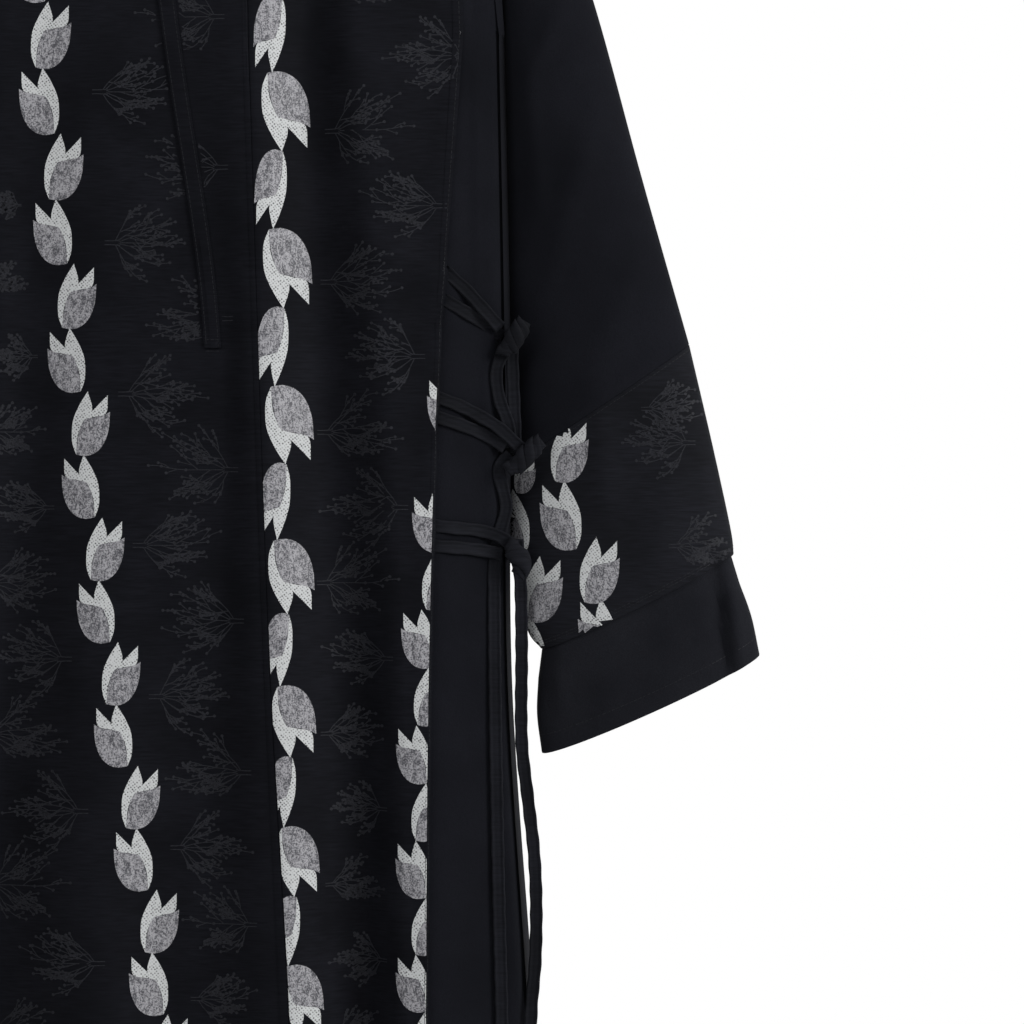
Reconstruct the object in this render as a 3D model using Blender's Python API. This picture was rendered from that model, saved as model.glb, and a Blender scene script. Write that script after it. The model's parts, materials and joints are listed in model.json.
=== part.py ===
# A long black dress of plain crepe with a figured overlay, open at the sides and tied there with
# cloth straps, hanging on a plain clothes hanger.
# Metres, +Z up. The front faces -Y. The origin is where the hanger's hook bears on its rail.
# A point of the cloth is given by how far it is across from the centre and by its drop, which is
# how far it is below the point where the shoulder seam meets the neck.

import math
from collections import namedtuple

import bmesh
import bpy
from mathutils import Vector
from mathutils.bvhtree import BVHTree

# Driving sizes
LENGTH = 1.400
OVERLAY_LENGTH = 1.380
NECK_POINT_Z = -0.092
NECK_HALF = 0.075
FRONT_NECK_DROP = 0.095
BACK_NECK_DROP = 0.022
SHOULDER_HALF = 0.205
SHOULDER_DROP = 0.050
ARMHOLE_HALF = 0.212
ARMHOLE_DROP = 0.160
ARMPIT_HALF = 0.2345
ARMPIT_DROP = 0.242
PLACKET_DROP = 0.500

# Walls of cloth, and the gaps between pieces
CREPE = 0.0010
FIGURED = 0.0012
SEAM_GAP = 0.0003
LAYER_GAP = 0.0005

# Drops at which the tables of lines below say where a line is
LEVELS = (0.300, 0.500, 0.700, 0.910, 1.400)
# Rows of points: shares of the way from the shoulder, neck or armhole to the first level, then drops
TOP_SHARES = (0.0, 0.012, 0.04, 0.11, 0.27, 0.58)
ROWS = (0.300, 0.400, 0.500, 0.600, 0.700, 0.800, 0.910, 1.060, 1.220, 1.380, 1.400)
# The crepe front and the crepe back are each one cut piece. Each is three solids down its length,
# so that a simulation's collision shapes can follow its folds.
STRETCHES = (("upper", 0.0, 0.500), ("middle", 0.500, 0.910), ("lower", 0.910, LENGTH))

# How far the cloth stands in front of and behind the hanger, at the shoulder and at each level
TOP_DEPTH = 0.012
FRONT_DEPTH = (0.033, 0.037, 0.039, 0.042, 0.052)
BACK_DEPTH = (0.024, 0.027, 0.029, 0.032, 0.042)
SIDE_ROUNDING = 3.0
SHOULDER_ROUNDING = 0.004

# A line that runs down the cloth: a seam, an edge, or the crest or foot of a fold. It has where it
# is across at its top and at each level, and how far it stands out there, in mm. steps is how many
# columns of points there are from the line before it.
Line = namedtuple("Line", "name top across out steps")
FRONT_LINES = (
    Line("side_left", -234.5, (-234.5, -234.3, -242, -258, -285), (0, 0, 0, 0, 0), 0),
    Line("crease_left", -212, (-222.5, -226, -231, -240, -262), (-2, -2, -1, -1, -1), 4),
    Line("edge_left", -205, (-213, -199.5, -193.6, -192, -190), (1.5, 3, 5, 7, 10), 4),
    Line("valley_left", -128, (-125, -138, -150, -160, -175), (-4, -8, -11, -14, -19), 3),
    Line("seam_left", -75, (-81.5, -90.5, -98.5, -107.5, -126), (2, 4, 6, 8, 12), 3),
    Line("neck_left", -74.3, (-77, -85, -92, -100, -117), (1.8, 3.6, 5.2, 7, 10.5), 1),
    Line("valley_middle", -42, (-45, -55, -68, -78, -90), (-1, -3, -7, -11, -16), 3),
    Line("crest_middle", -18, (-12, -12, -14, -16, -20), (1, 2, 5, 8, 12), 3),
    Line("placket_left", 1, (28.6, 54.8, 48.8, 37.8, 39.8), (0, -3, -9, -13, -18), 3),
    Line("placket_right", 11.5, (39, 65.2, 59.2, 48.2, 50.2), (0, -3, -9, -13, -18), 1),
    Line("neck_right", 74.3, (77, 85, 92, 100, 117), (2.8, 4.4, 5, 6.6, 10), 3),
    Line("seam_right", 75, (81.5, 90.5, 98.5, 107.5, 126), (3, 5, 6, 8, 12), 1),
    Line("valley_right", 122, (120.5, 133, 150, 169, 188), (-7, -10, -13, -15, -20), 3),
    Line("edge_right", 205, (213, 199.5, 193.6, 192, 190), (1.5, 3, 5, 7, 10), 3),
    Line("crease_right", 212, (222.5, 226, 231, 240, 262), (-2, -2, -1, -1, -1), 4),
    Line("side_right", 234.5, (234.5, 234.3, 242, 258, 285), (0, 0, 0, 0, 0), 4),
)
BACK_LINES = (
    Line("side_left", -234.5, (-234.5, -234.3, -242, -258, -285), (0, 0, 0, 0, 0), 0),
    Line("crease_left", -212, (-222.5, -226, -231, -240, -262), (-2, -2, -1, -1, -1), 4),
    Line("edge_left", -205, (-213, -199.5, -193.6, -192, -190), (1, 2, 4, 5, 8), 4),
    Line("valley_left", -130, (-130, -134, -138, -142, -150), (-2, -5, -8, -10, -15), 3),
    Line("crest_left", -75, (-75, -76, -80, -86, -96), (1, 3, 6, 8, 12), 3),
    Line("neck_left", -74.3, (-70, -71, -75, -80, -89), (0.8, 2.8, 5.6, 7.4, 11), 1),
    Line("centre", 0, (0, 2, 4, 6, 8), (-1, -3, -6, -9, -14), 3),
    Line("neck_right", 74.3, (70, 73, 79, 86, 97), (0.8, 2.8, 5.6, 7.4, 11), 3),
    Line("crest_right", 75, (75, 78, 84, 92, 104), (1, 3, 6, 8, 12), 1),
    Line("valley_right", 130, (130, 136, 142, 148, 158), (-2, -5, -8, -10, -15), 3),
    Line("edge_right", 205, (213, 199.5, 193.6, 192, 190), (1, 2, 4, 5, 8), 3),
    Line("crease_right", 212, (222.5, 226, 231, 240, 262), (-2, -2, -1, -1, -1), 4),
    Line("side_right", 234.5, (234.5, 234.3, 242, 258, 285), (0, 0, 0, 0, 0), 4),
)

# A cut across the right sleeve, in mm: its fold under the arm and its outer fold as (across, drop),
# its half depth, how far it stands forward, and how far its middle hangs below a straight line.
Cut = namedtuple("Cut", "inner outer half_depth forward sag")
SLEEVE_CUTS = (
    Cut((238.0, 264), (236.8, 117), 15.5, 0, 0),
    Cut((238.6, 302), (266.6, 192), 16, 0, 0),
    Cut((239.6, 362), (295.7, 279), 17, 1, 0),
    Cut((241.0, 460), (324.9, 386), 18, 2, 1),
    Cut((244.5, 566), (354.6, 491), 19, 3, 2),
)
BAND_CUTS = (
    SLEEVE_CUTS[-1],
    Cut((249.9, 626), (369.5, 555), 20, 3.5, 3),
    Cut((256.0, 668), (380.5, 606), 21, 4, 4),
    Cut((262.0, 681), (382.5, 622), 20, 4, 4),
)
UNDER_SLEEVE_CUTS = (
    Cut((260.4, 700), (386.0, 640), 17, 4, 4),
    Cut((259.6, 722), (393.5, 661), 19, 4.5, 5),
    Cut((262.6, 746), (398.6, 685), 18.5, 4.5, 5),
)
SLEEVE_ROUNDING = 0.8

# A tie on the right side, in mm as (across, drop): the ways of its strap, of the strap under that
# one, of its knot, and of each tail that hangs from it.
STRAP_WIDTH = 0.0082
STRAP_THICK = 0.0012
TAIL_FORWARD = 0.017
STRAP_STEP = 0.004
TAIL_STEP = 0.018
KNOT_STEP = 0.0035
KNOT_WIDTH = 0.0135
KNOT_THICK = 0.0056
# A cut across a knot, flat behind and round in front, as shares of its half width and thickness
KNOT_PROFILE = ((-0.7, 0), (-1, 0.3), (-0.8, 0.75), (-0.3, 1), (0.3, 1), (0.8, 0.75), (1, 0.3), (0.7, 0))

# The back strap of each tie goes round the dress's side at a drop, and ends behind the knot at a
# place across and forward of the hanger, in mm.
BackStrap = namedtuple("BackStrap", "drop across forward")
BACK_STRAPS = {
    "top": BackStrap(485, 243, 15.5),
    "middle": BackStrap(556, 245, 16),
    "low": BackStrap(620, 246, 15),
}
BACK_STRAP_CLEAR = 0.0012
BACK_STRAP_TURNS = 5

Tie = namedtuple("Tie", "name strap under_strap knot tails")
TIES = (
    Tie(
        "top",
        ((206.5, 450.5), (216, 459), (226, 470), (237, 482)),
        ((206, 467), (214, 471.5), (225, 478), (238, 487)),
        ((238.5, 500), (241, 494), (246, 487.5), (250, 482), (253, 477)),
        (
            ((244, 491), (244.5, 510), (245.5, 535), (246.5, 560)),
            ((240, 494), (234.5, 508), (236, 525), (241.5, 541), (244, 556)),
        ),
    ),
    Tie(
        "middle",
        ((200, 526), (212, 530.5), (224, 536.5), (236, 544), (250, 557)),
        ((199.5, 538), (212, 542), (226, 547.5), (240, 556)),
        ((240, 572), (246, 567), (253, 561), (259, 555.5), (264, 551.5)),
        (
            (
                (243, 560), (236, 569), (238.5, 582), (240.5, 593), (237, 607), (233.5, 622),
                (233, 650), (233.5, 710), (234.5, 770), (236, 840), (237.5, 900), (238.5, 965),
            ),
        ),
    ),
    Tie(
        "low",
        ((197, 604.5), (210, 606), (224, 607.5), (236, 611), (246, 618)),
        ((197, 617), (210, 618), (224, 619.5), (238, 622)),
        ((240, 615), (244, 618), (248, 623), (249.5, 629), (246, 635.5)),
        (
            (
                (247, 613), (249.3, 640), (250, 680), (250, 738), (254, 775), (257.5, 806),
                (259, 837), (258.5, 874), (256, 905), (255, 955),
            ),
        ),
    ),
)

# Hanger
ARM_HALF = 0.200
ARM_GAP = 0.0014
ARM_BEND = 0.012
ARM_PROFILE = ((0, 0), (1.3, -1.2), (3.6, -5.0), (4.3, -9.5), (3.4, -14.5), (0, -16))
ARM_STEPS = 16
ARM_END_THINNING = 0.35
WIRE = 0.0018
HOOK_RADIUS = 0.020
HOOK_START = math.radians(-60)
HOOK_END = math.radians(205)
HOOK_STEPS = 26
STEM_TOP_Z = -0.050
STEM_BEND_STEPS = 6

MM = 0.001


def material(name, colour, roughness, metallic=0.0):
    made = bpy.data.materials.new(name)
    made.use_nodes = True
    shader = made.node_tree.nodes["Principled BSDF"]
    shader.inputs["Base Color"].default_value = (*colour, 1.0)
    shader.inputs["Roughness"].default_value = roughness
    shader.inputs["Metallic"].default_value = metallic
    made.diffuse_color = (*colour, 1.0)
    return made


def along(places, values, at):
    """A smooth curve through values at rising places, level beyond its ends."""
    if at <= places[0]:
        return values[0]
    if at >= places[-1]:
        return values[-1]
    k = max(i for i in range(len(places) - 1) if places[i] <= at)
    width = places[k + 1] - places[k]
    share = (at - places[k]) / width

    def slope(i):
        low, high = max(i - 1, 0), min(i + 1, len(places) - 1)
        return (values[high] - values[low]) / (places[high] - places[low])

    rise = values[k + 1] - values[k]
    start, end = slope(k) * width, slope(k + 1) * width
    bend = share**2 * (3 * rise - 2 * start - end) + share**3 * (start + end - 2 * rise)
    return values[k] + share * start + bend


def finished(name, shape, finish):
    bmesh.ops.recalc_face_normals(shape, faces=shape.faces)
    mesh = bpy.data.meshes.new(name)
    shape.to_mesh(mesh)
    shape.free()
    mesh.shade_smooth()
    mesh.set_sharp_from_angle(angle=math.radians(40))
    mesh.materials.append(finish)
    made = bpy.data.objects.new(name, mesh)
    bpy.context.scene.collection.objects.link(made)
    return made


def wall(name, outer, inner, finish, closed=False):
    """A solid between two grids of points. closed joins each row's last point to its first."""
    shape = bmesh.new()
    skins = [[[shape.verts.new(p) for p in row] for row in grid] for grid in (outer, inner)]
    rows, columns = len(outer), len(outer[0])
    steps = [(c, (c + 1) % columns) for c in range(columns if closed else columns - 1)]

    def patch(a, b, c, d):
        shape.faces.new((a, b, c))
        shape.faces.new((a, c, d))

    for skin in skins:
        for r in range(rows - 1):
            for c, n in steps:
                patch(skin[r][c], skin[r + 1][c], skin[r + 1][n], skin[r][n])
    out, into = skins
    for r in (0, rows - 1):
        for c, n in steps:
            patch(out[r][c], out[r][n], into[r][n], into[r][c])
    if not closed:
        for c in (0, columns - 1):
            for r in range(rows - 1):
                patch(out[r][c], out[r + 1][c], into[r + 1][c], into[r][c])
    return finished(name, shape, finish)


def loft(name, rings, finish):
    """A solid through rings of points, with flat ends."""
    shape = bmesh.new()
    made = [[shape.verts.new(p) for p in ring] for ring in rings]
    count = len(rings[0])
    for ring, following in zip(made, made[1:]):
        for k in range(count):
            n = (k + 1) % count
            shape.faces.new((ring[k], following[k], following[n]))
            shape.faces.new((ring[k], following[n], ring[n]))
    shape.faces.new(made[0])
    shape.faces.new(made[-1])
    return finished(name, shape, finish)


def shoulder_drop(across):
    return SHOULDER_DROP * (abs(across) - NECK_HALF) / (SHOULDER_HALF - NECK_HALF)


def top_drop(across, neck_drop):
    """Drop of the neckline, the shoulder seam or the armhole at this place across."""
    size = abs(across)
    if size < NECK_HALF:
        return neck_drop * math.sqrt(1 - (size / NECK_HALF) ** 2)
    if size <= SHOULDER_HALF:
        return shoulder_drop(across)
    if size <= ARMHOLE_HALF:
        share = (size - SHOULDER_HALF) / (ARMHOLE_HALF - SHOULDER_HALF)
        return SHOULDER_DROP + share * (ARMHOLE_DROP - SHOULDER_DROP)
    share = min((size - ARMHOLE_HALF) / (ARMPIT_HALF - ARMHOLE_HALF), 1.0)
    return ARMHOLE_DROP + share * (ARMPIT_DROP - ARMHOLE_DROP)


def half_width(drop):
    return along(LEVELS, [MM * a for a in FRONT_LINES[-1].across], drop)


def stand_off(across, drop, depths):
    """How far cloth without folds stands off the hanger: rounded over the shoulder and at the sides."""
    depth = along((SHOULDER_DROP, *LEVELS), (TOP_DEPTH, *depths), drop)
    below_seam = max(drop - shoulder_drop(across), 0.0)
    share = min(abs(across) / half_width(drop), 1.0)
    over_shoulder = 1 - math.exp(-below_seam / SHOULDER_ROUNDING)
    return depth * over_shoulder * (1 - share**SIDE_ROUNDING) ** (1 / SIDE_ROUNDING)


Column = namedtuple("Column", "top_across top_drop across out")


def columns_of(lines, neck_drop):
    """The columns of points that a table of lines gives, and each line's own column."""
    found, index = [], {}
    for k, line in enumerate(lines):
        before = lines[max(k - 1, 0)]
        for step in range(1, line.steps + 1) if k else (1,):
            share = step / line.steps if k else 1.0
            eased = share * share * (3 - 2 * share)
            top = MM * (before.top + share * (line.top - before.top))
            across = [MM * (a + share * (b - a)) for a, b in zip(before.across, line.across)]
            out = [MM * (a + eased * (b - a)) for a, b in zip(before.out, line.out)]
            found.append(Column(top, top_drop(top, neck_drop), across, out))
        index[line.name] = len(found) - 1
    return found, index


def place(column, row):
    """Where a column crosses a row: across, drop, and how far out a fold brings it."""
    if row < len(TOP_SHARES):
        share = TOP_SHARES[row]
        drop = column.top_drop + share * (ROWS[0] - column.top_drop)
        across = column.top_across + share * (column.across[0] - column.top_across)
        return across, drop, share * column.out[0]
    drop = ROWS[row - len(TOP_SHARES)]
    return along(LEVELS, column.across, drop), drop, along(LEVELS, column.out, drop)


Panel = namedtuple("Panel", "points directions index")


def body_panel(lines, neck_drop, depths, facing):
    """The outer face of the dress front or back, with a direction out of it at each point."""
    columns, index = columns_of(lines, neck_drop)
    rows, last = len(TOP_SHARES) + len(ROWS), len(columns) - 1
    points = []
    for row in range(rows):
        places = [place(column, row) for column in columns]
        outs = [max(stand_off(a, d, depths) + out, SEAM_GAP / 2) for a, d, out in places]
        points.append(
            [Vector((a, facing * y, NECK_POINT_Z - d)) for (a, d, _), y in zip(places, outs)]
        )

    def direction(row, c):
        if c in (0, last):
            return Vector((1.0 if c else -1.0, 0, 0))
        point = points[row][c]
        if row == 0 and abs(point.y) < SEAM_GAP:
            return Vector((0, 0, 1))
        if row < len(TOP_SHARES):
            return slope_direction(point, depths, facing)
        down = points[min(row + 1, rows - 1)][c] - points[row - 1][c]
        right = points[row][c + 1] - points[row][c - 1]
        return (down.cross(right) * -facing).normalized()

    directions = [[direction(row, c) for c in range(last + 1)] for row in range(rows)]
    return Panel(points, directions, index)


def slope_direction(point, depths, facing):
    """Straight out of the cloth without folds, at a point near its upper edge."""
    step = 0.0002
    across, drop = point.x, NECK_POINT_Z - point.z
    here = stand_off(across, drop, depths)
    sideways = (stand_off(across + step, drop, depths) - here) / step
    downward = (stand_off(across, drop + step, depths) - here) / step
    return Vector((-sideways, facing, downward)).normalized()


def moved_out(panel, by, columns, rows):
    """Part of a panel, moved out along its directions."""
    return [
        [panel.points[r][c] + by * panel.directions[r][c] for c in range(columns[0], columns[1] + 1)]
        for r in range(rows[0], rows[1] + 1)
    ]


def row_at(drop):
    return len(TOP_SHARES) + ROWS.index(drop) if drop else 0


def layer(name, panel, first, last, foot, thick, drop, finish, top=0.0):
    """A piece that lies on a panel between two of its lines, from one drop down to another."""
    span = (panel.index[first], panel.index[last])
    rows = (row_at(top), row_at(drop))
    grids = [moved_out(panel, by, span, rows) for by in (foot + thick, foot)]
    if top:
        for grid in grids:
            grid[0] = [a + (b - a).normalized() * SEAM_GAP for a, b in zip(grid[0], grid[1])]
    for end, beside, line in ((0, 1, first), (-1, -2, last)):
        if line.startswith("seam"):
            for row in grids[0] + grids[1]:
                row[end] += (row[beside] - row[end]).normalized() * SEAM_GAP / 2
    return wall(name, *grids, finish)


def make_body(crepe, figured):
    """The crepe front and back, the overlay on each of them, and the placket."""
    front = body_panel(FRONT_LINES, FRONT_NECK_DROP, FRONT_DEPTH, -1)
    back = body_panel(BACK_LINES, BACK_NECK_DROP, BACK_DEPTH, 1)
    made = []
    for name, panel in (("dress_front_", front), ("dress_back_", back)):
        for stretch, top, drop in STRETCHES:
            dress = (name + stretch, panel, "side_left", "side_right", -CREPE, CREPE)
            made.append(layer(*dress, drop, crepe, top))
    overlay = (LAYER_GAP, FIGURED, OVERLAY_LENGTH, figured)
    made += [
        layer("overlay_side_front_left", front, "edge_left", "seam_left", *overlay),
        layer("overlay_centre_front", front, "seam_left", "seam_right", *overlay),
        layer("overlay_side_front_right", front, "seam_right", "edge_right", *overlay),
        layer("overlay_back", back, "edge_left", "edge_right", *overlay),
    ]
    foot = LAYER_GAP + FIGURED + SEAM_GAP
    made.append(
        layer("placket", front, "placket_left", "placket_right", foot, FIGURED, PLACKET_DROP, figured)
    )
    return front, back, made


def sleeve_ring(cut, count, side):
    """Points round the sleeve at a cut, from its outer fold down the front and up the back."""
    inner, outer = (Vector((MM * a, 0, NECK_POINT_Z - MM * drop)) for a, drop in (cut.inner, cut.outer))
    middle, reach = (inner + outer) / 2, (outer - inner) / 2
    ring = []
    for k in range(count):
        turn = 2 * math.pi * k / count
        height = math.sin(turn)
        swell = abs(height) ** SLEEVE_ROUNDING
        point = middle + reach * math.cos(turn)
        point.y = -MM * (cut.forward + math.copysign(swell, height) * cut.half_depth)
        point.z -= MM * cut.sag * abs(height)
        point.x *= side
        ring.append(point)
    return ring


def ring_inside(ring, by):
    """A ring of points, drawn in by a wall's thickness."""
    count = len(ring)
    middle = sum(ring, Vector()) / count
    reach = (ring[0] - ring[count // 2]).normalized()
    axis = reach.cross(Vector((0, 1, 0)))
    found = []
    for k, point in enumerate(ring):
        before, after = point - ring[k - 1], ring[(k + 1) % count] - point
        normal = axis.cross(before.normalized() + after.normalized()).normalized()
        if normal.dot(middle - point) < 0:
            normal = -normal
        mitre = math.cos(before.angle(after) / 2)
        found.append(point + normal * by / mitre)
    return found


def armhole_ring(front, back, side, inset):
    """The body's armhole, from the shoulder down the front and up the back, clear by the seam's gap."""
    name = "right" if side > 0 else "left"
    halves = []
    for panel in (front, back):
        first, last = panel.index["edge_" + name], panel.index["side_" + name]
        step = 1 if last > first else -1
        columns = range(first, last + step, step)
        halves.append([panel.points[0][c] - inset * panel.directions[0][c] for c in columns])
    ahead, behind = halves
    shoulder = (ahead[0] + behind[0]) / 2
    under_arm = (ahead[-1] + behind[-1]) / 2
    ring = [shoulder, *ahead[1:-1], under_arm, *behind[-2:0:-1]]
    return [point + Vector((side * 2 * SEAM_GAP, 0, 0)) for point in ring]


def make_sleeves(front, back, side, crepe, figured):
    """A sleeve, the figured band at its end, and the plain under-sleeve that shows below the band."""
    name = "right" if side > 0 else "left"
    armhole = [armhole_ring(front, back, side, inset) for inset in (0.0, CREPE)]
    count = len(armhole[0])

    def rings_of(cuts, inset=0.0):
        rings = [sleeve_ring(cut, count, side) for cut in cuts]
        return [ring_inside(ring, inset) for ring in rings] if inset else rings

    outer, inner = ([armhole[k], *rings_of(SLEEVE_CUTS, k * CREPE)] for k in (0, 1))
    made = [wall("sleeve_" + name, outer, inner, crepe, closed=True)]

    band = [rings_of(BAND_CUTS), rings_of(BAND_CUTS, FIGURED)]
    for rings in band:
        rings[0] = [a + (b - a).normalized() * 2 * SEAM_GAP for a, b in zip(rings[0], rings[1])]
    made.append(wall("sleeve_band_" + name, *band, figured, closed=True))

    under = []
    for thick in (0.0, CREPE):
        hidden = [
            ring_inside(ring, FIGURED + LAYER_GAP + thick)
            for ring in [sleeve_ring(cut, count, side) for cut in BAND_CUTS]
        ]
        hidden[0] = [a + (b - a).normalized() * 0.002 for a, b in zip(hidden[0], hidden[1])]
        under.append(hidden + rings_of(UNDER_SLEEVE_CUTS, thick))
    made.append(wall("under_sleeve_" + name, *under, crepe, closed=True))
    return made


def tree_of(pieces):
    """All the pieces' faces, for finding how far forward they reach."""
    points, faces = [], []
    for piece in pieces:
        start = len(points)
        points += [vertex.co.copy() for vertex in piece.data.vertices]
        faces += [[start + v for v in polygon.vertices] for polygon in piece.data.polygons]
    return BVHTree.FromPolygons(points, faces)


def front_of(tree, x, z):
    """How far forward the pieces reach at this place in the front view."""
    hit = tree.ray_cast(Vector((x, -1.0, z)), Vector((0, 1, 0)))[0]
    return -hit.y if hit else -1.0


def way_through(stations, side, spacing):
    """Evenly spaced points of the front view on a smooth curve through stations, with its direction."""
    points = [Vector((side * MM * a, NECK_POINT_Z - MM * drop)) for a, drop in stations]
    lengths = [0.0]
    for a, b in zip(points, points[1:]):
        lengths.append(lengths[-1] + (b - a).length)
    count = max(2, round(lengths[-1] / spacing))

    def point_at(share):
        return Vector([along(lengths, [p[k] for p in points], share * lengths[-1]) for k in (0, 1)])

    step = 0.002
    way = []
    for k in range(count + 1):
        share = k / count
        before, after = point_at(max(share - step, 0)), point_at(min(share + step, 1))
        way.append((point_at(share), (after - before).normalized()))
    return way


def tape(name, stations, side, below, finish, spacing, least=0.0):
    """A flat strap that lies on the front of the pieces below it."""
    tree = tree_of(below)
    way = way_through(stations, side, spacing)
    half = STRAP_WIDTH / 2
    reaches, edges = [], []
    for point, direction in way:
        to_side = Vector((-direction.y, direction.x))
        probes = [point + to_side * half * k / 3 for k in range(-4, 5)]
        reaches.append(max(front_of(tree, *probe) for probe in probes))
        edges.append((point + to_side * half, point - to_side * half))
    rings = []
    for k, (upper, lower) in enumerate(edges):
        reach = max(max(reaches[max(k - 1, 0) : k + 2]), least) + LAYER_GAP
        depths = (reach, reach + STRAP_THICK)
        rings.append(
            [
                Vector((edge.x, -depth, edge.y))
                for edge, depth in zip((upper, upper, lower, lower), (*depths, *depths[::-1]))
            ]
        )
    return loft(name, rings, finish)


def knot(name, stations, side, below, finish):
    """A folded lump of strap over the strap ends below it."""
    tree = tree_of(below)
    way = way_through(stations, side, KNOT_STEP)
    last = len(way) - 1
    swells = [0.5 + 0.5 * math.sin(math.pi * (0.08 + 0.84 * k / last)) for k in range(last + 1)]
    halves = [Vector((-d.y, d.x)) * KNOT_WIDTH / 2 * swell for (_, d), swell in zip(way, swells)]
    probes = [point + half * k / 3 for (point, _), half in zip(way, halves) for k in range(-3, 4)]
    foot = max(front_of(tree, *probe) for probe in probes) + SEAM_GAP
    rings = []
    for (point, _), half, swell in zip(way, halves, swells):
        ring = []
        for across, rise in KNOT_PROFILE:
            spot = point + half * across
            ring.append(Vector((spot.x, -(foot + KNOT_THICK * swell * rise), spot.y)))
        rings.append(ring)
    return loft(name, rings, finish)


def back_strap(name, panel, side, strap, finish):
    """A strap from the back overlay's edge round the dress's side to a place behind the knot."""
    word = "right" if side > 0 else "left"
    first, last = panel.index["edge_" + word], panel.index["side_" + word]
    step = 1 if last > first else -1
    rows = []
    for edge_drop in (MM * strap.drop - STRAP_WIDTH / 2, MM * strap.drop + STRAP_WIDTH / 2):
        row = max(r for r in range(len(ROWS) - 1) if ROWS[r] <= edge_drop)
        share = (edge_drop - ROWS[row]) / (ROWS[row + 1] - ROWS[row])
        row += len(TOP_SHARES)
        lie = [
            [grid[row][c].lerp(grid[row + 1][c], share) for c in range(first, last + step, step)]
            for grid in (panel.points, panel.directions)
        ]
        lie[0][0] += (lie[0][1] - lie[0][0]).normalized() * BACK_STRAP_CLEAR
        centres = [p + d.normalized() * 2 * LAYER_GAP for p, d in zip(*lie)]
        outs = [d.normalized() for d in lie[1]]
        centres[-1].y = 0.0
        corner = centres[-1].copy()
        reach = side * MM * strap.across - corner.x
        for k in range(1, BACK_STRAP_TURNS + 1):
            turn = math.pi / 2 * k / BACK_STRAP_TURNS
            x, y = corner.x + reach * (1 - math.cos(turn)), -MM * strap.forward * math.sin(turn)
            centres.append(Vector((x, y, corner.z)))
            outs.append(Vector((side * math.cos(turn), math.sin(turn), 0)))
        rows.append((centres, outs))
    grids = [
        [[p + o * by for p, o in zip(centres, outs)] for centres, outs in rows]
        for by in (STRAP_THICK, 0.0)
    ]
    return wall(name, *grids, finish)


def make_ties(back, side, below, figured):
    """Three ties: each with a strap, one under it, one from the back, a knot and its tails."""
    name = "right" if side > 0 else "left"
    lying = list(below)
    for tie in TIES:
        title = f"tie_{tie.name}_back_strap_{name}"
        lying.append(back_strap(title, back, side, BACK_STRAPS[tie.name], figured))
    for tie in TIES:
        stem = "tie_" + tie.name + "_"
        for number, tail in enumerate(tie.tails, 1):
            title = f"{stem}tail_{number}_{name}" if len(tie.tails) > 1 else f"{stem}tail_{name}"
            lying.append(tape(title, tail, side, lying, figured, TAIL_STEP, TAIL_FORWARD))
    for tie in TIES:
        stem = "tie_" + tie.name + "_"
        for part, way in (("under_strap_", tie.under_strap), ("strap_", tie.strap)):
            lying.append(tape(stem + part + name, way, side, lying, figured, STRAP_STEP))
        lying.append(knot(stem + "knot_" + name, tie.knot, side, lying, figured))


def arm_top_z(x):
    slope = SHOULDER_DROP / (SHOULDER_HALF - NECK_HALF)
    return NECK_POINT_Z - slope * (math.hypot(x, ARM_BEND) - NECK_HALF) - ARM_GAP


def make_arms(wood):
    """One bent arm right across, under both shoulders."""
    half = [Vector((MM * y, MM * z)) for y, z in ARM_PROFILE]
    outline = half + [Vector((-p.x, p.y)) for p in half[-2:0:-1]]
    rings = []
    for k in range(-ARM_STEPS // 2, ARM_STEPS // 2 + 1):
        share = 2 * k / ARM_STEPS
        x = ARM_HALF * share
        size = 1 - ARM_END_THINNING * share**6
        rings.append([Vector((x, p.x * size, arm_top_z(x) + p.y * size)) for p in outline])
    return loft("hanger_arms", rings, wood)


def make_hook(steel):
    """A bent wire: a stem up from the arms and most of a circle over the rail."""
    centre = Vector((0, WIRE - HOOK_RADIUS))

    def on_circle(turn):
        return centre + HOOK_RADIUS * Vector((math.cos(turn), math.sin(turn)))

    foot = Vector((0, arm_top_z(0) + SEAM_GAP))
    top = Vector((0, STEM_TOP_Z))
    start = on_circle(HOOK_START)
    leave = Vector((-math.sin(HOOK_START), math.cos(HOOK_START)))
    reach = (start - top).length
    points = [foot]
    for k in range(STEM_BEND_STEPS):
        share = k / STEM_BEND_STEPS
        smooth = share * share * (3 - 2 * share)
        rise = share * (1 - share) ** 2 * reach
        fall = share**2 * (share - 1) * reach
        points.append(top.lerp(start, smooth) + Vector((0, 1)) * rise + leave * fall)
    for k in range(HOOK_STEPS + 1):
        points.append(on_circle(HOOK_START + (HOOK_END - HOOK_START) * k / HOOK_STEPS))
    curve = bpy.data.curves.new("hanger_hook", "CURVE")
    curve.dimensions = "3D"
    curve.bevel_depth = WIRE
    curve.bevel_resolution = 1
    curve.use_fill_caps = True
    spline = curve.splines.new("POLY")
    spline.points.add(len(points) - 1)
    for spot, point in zip(spline.points, points):
        spot.co = (point.x, 0, point.y, 1)
    curve.materials.append(steel)
    made = bpy.data.objects.new("hanger_hook", curve)
    bpy.context.scene.collection.objects.link(made)
    return made


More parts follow.
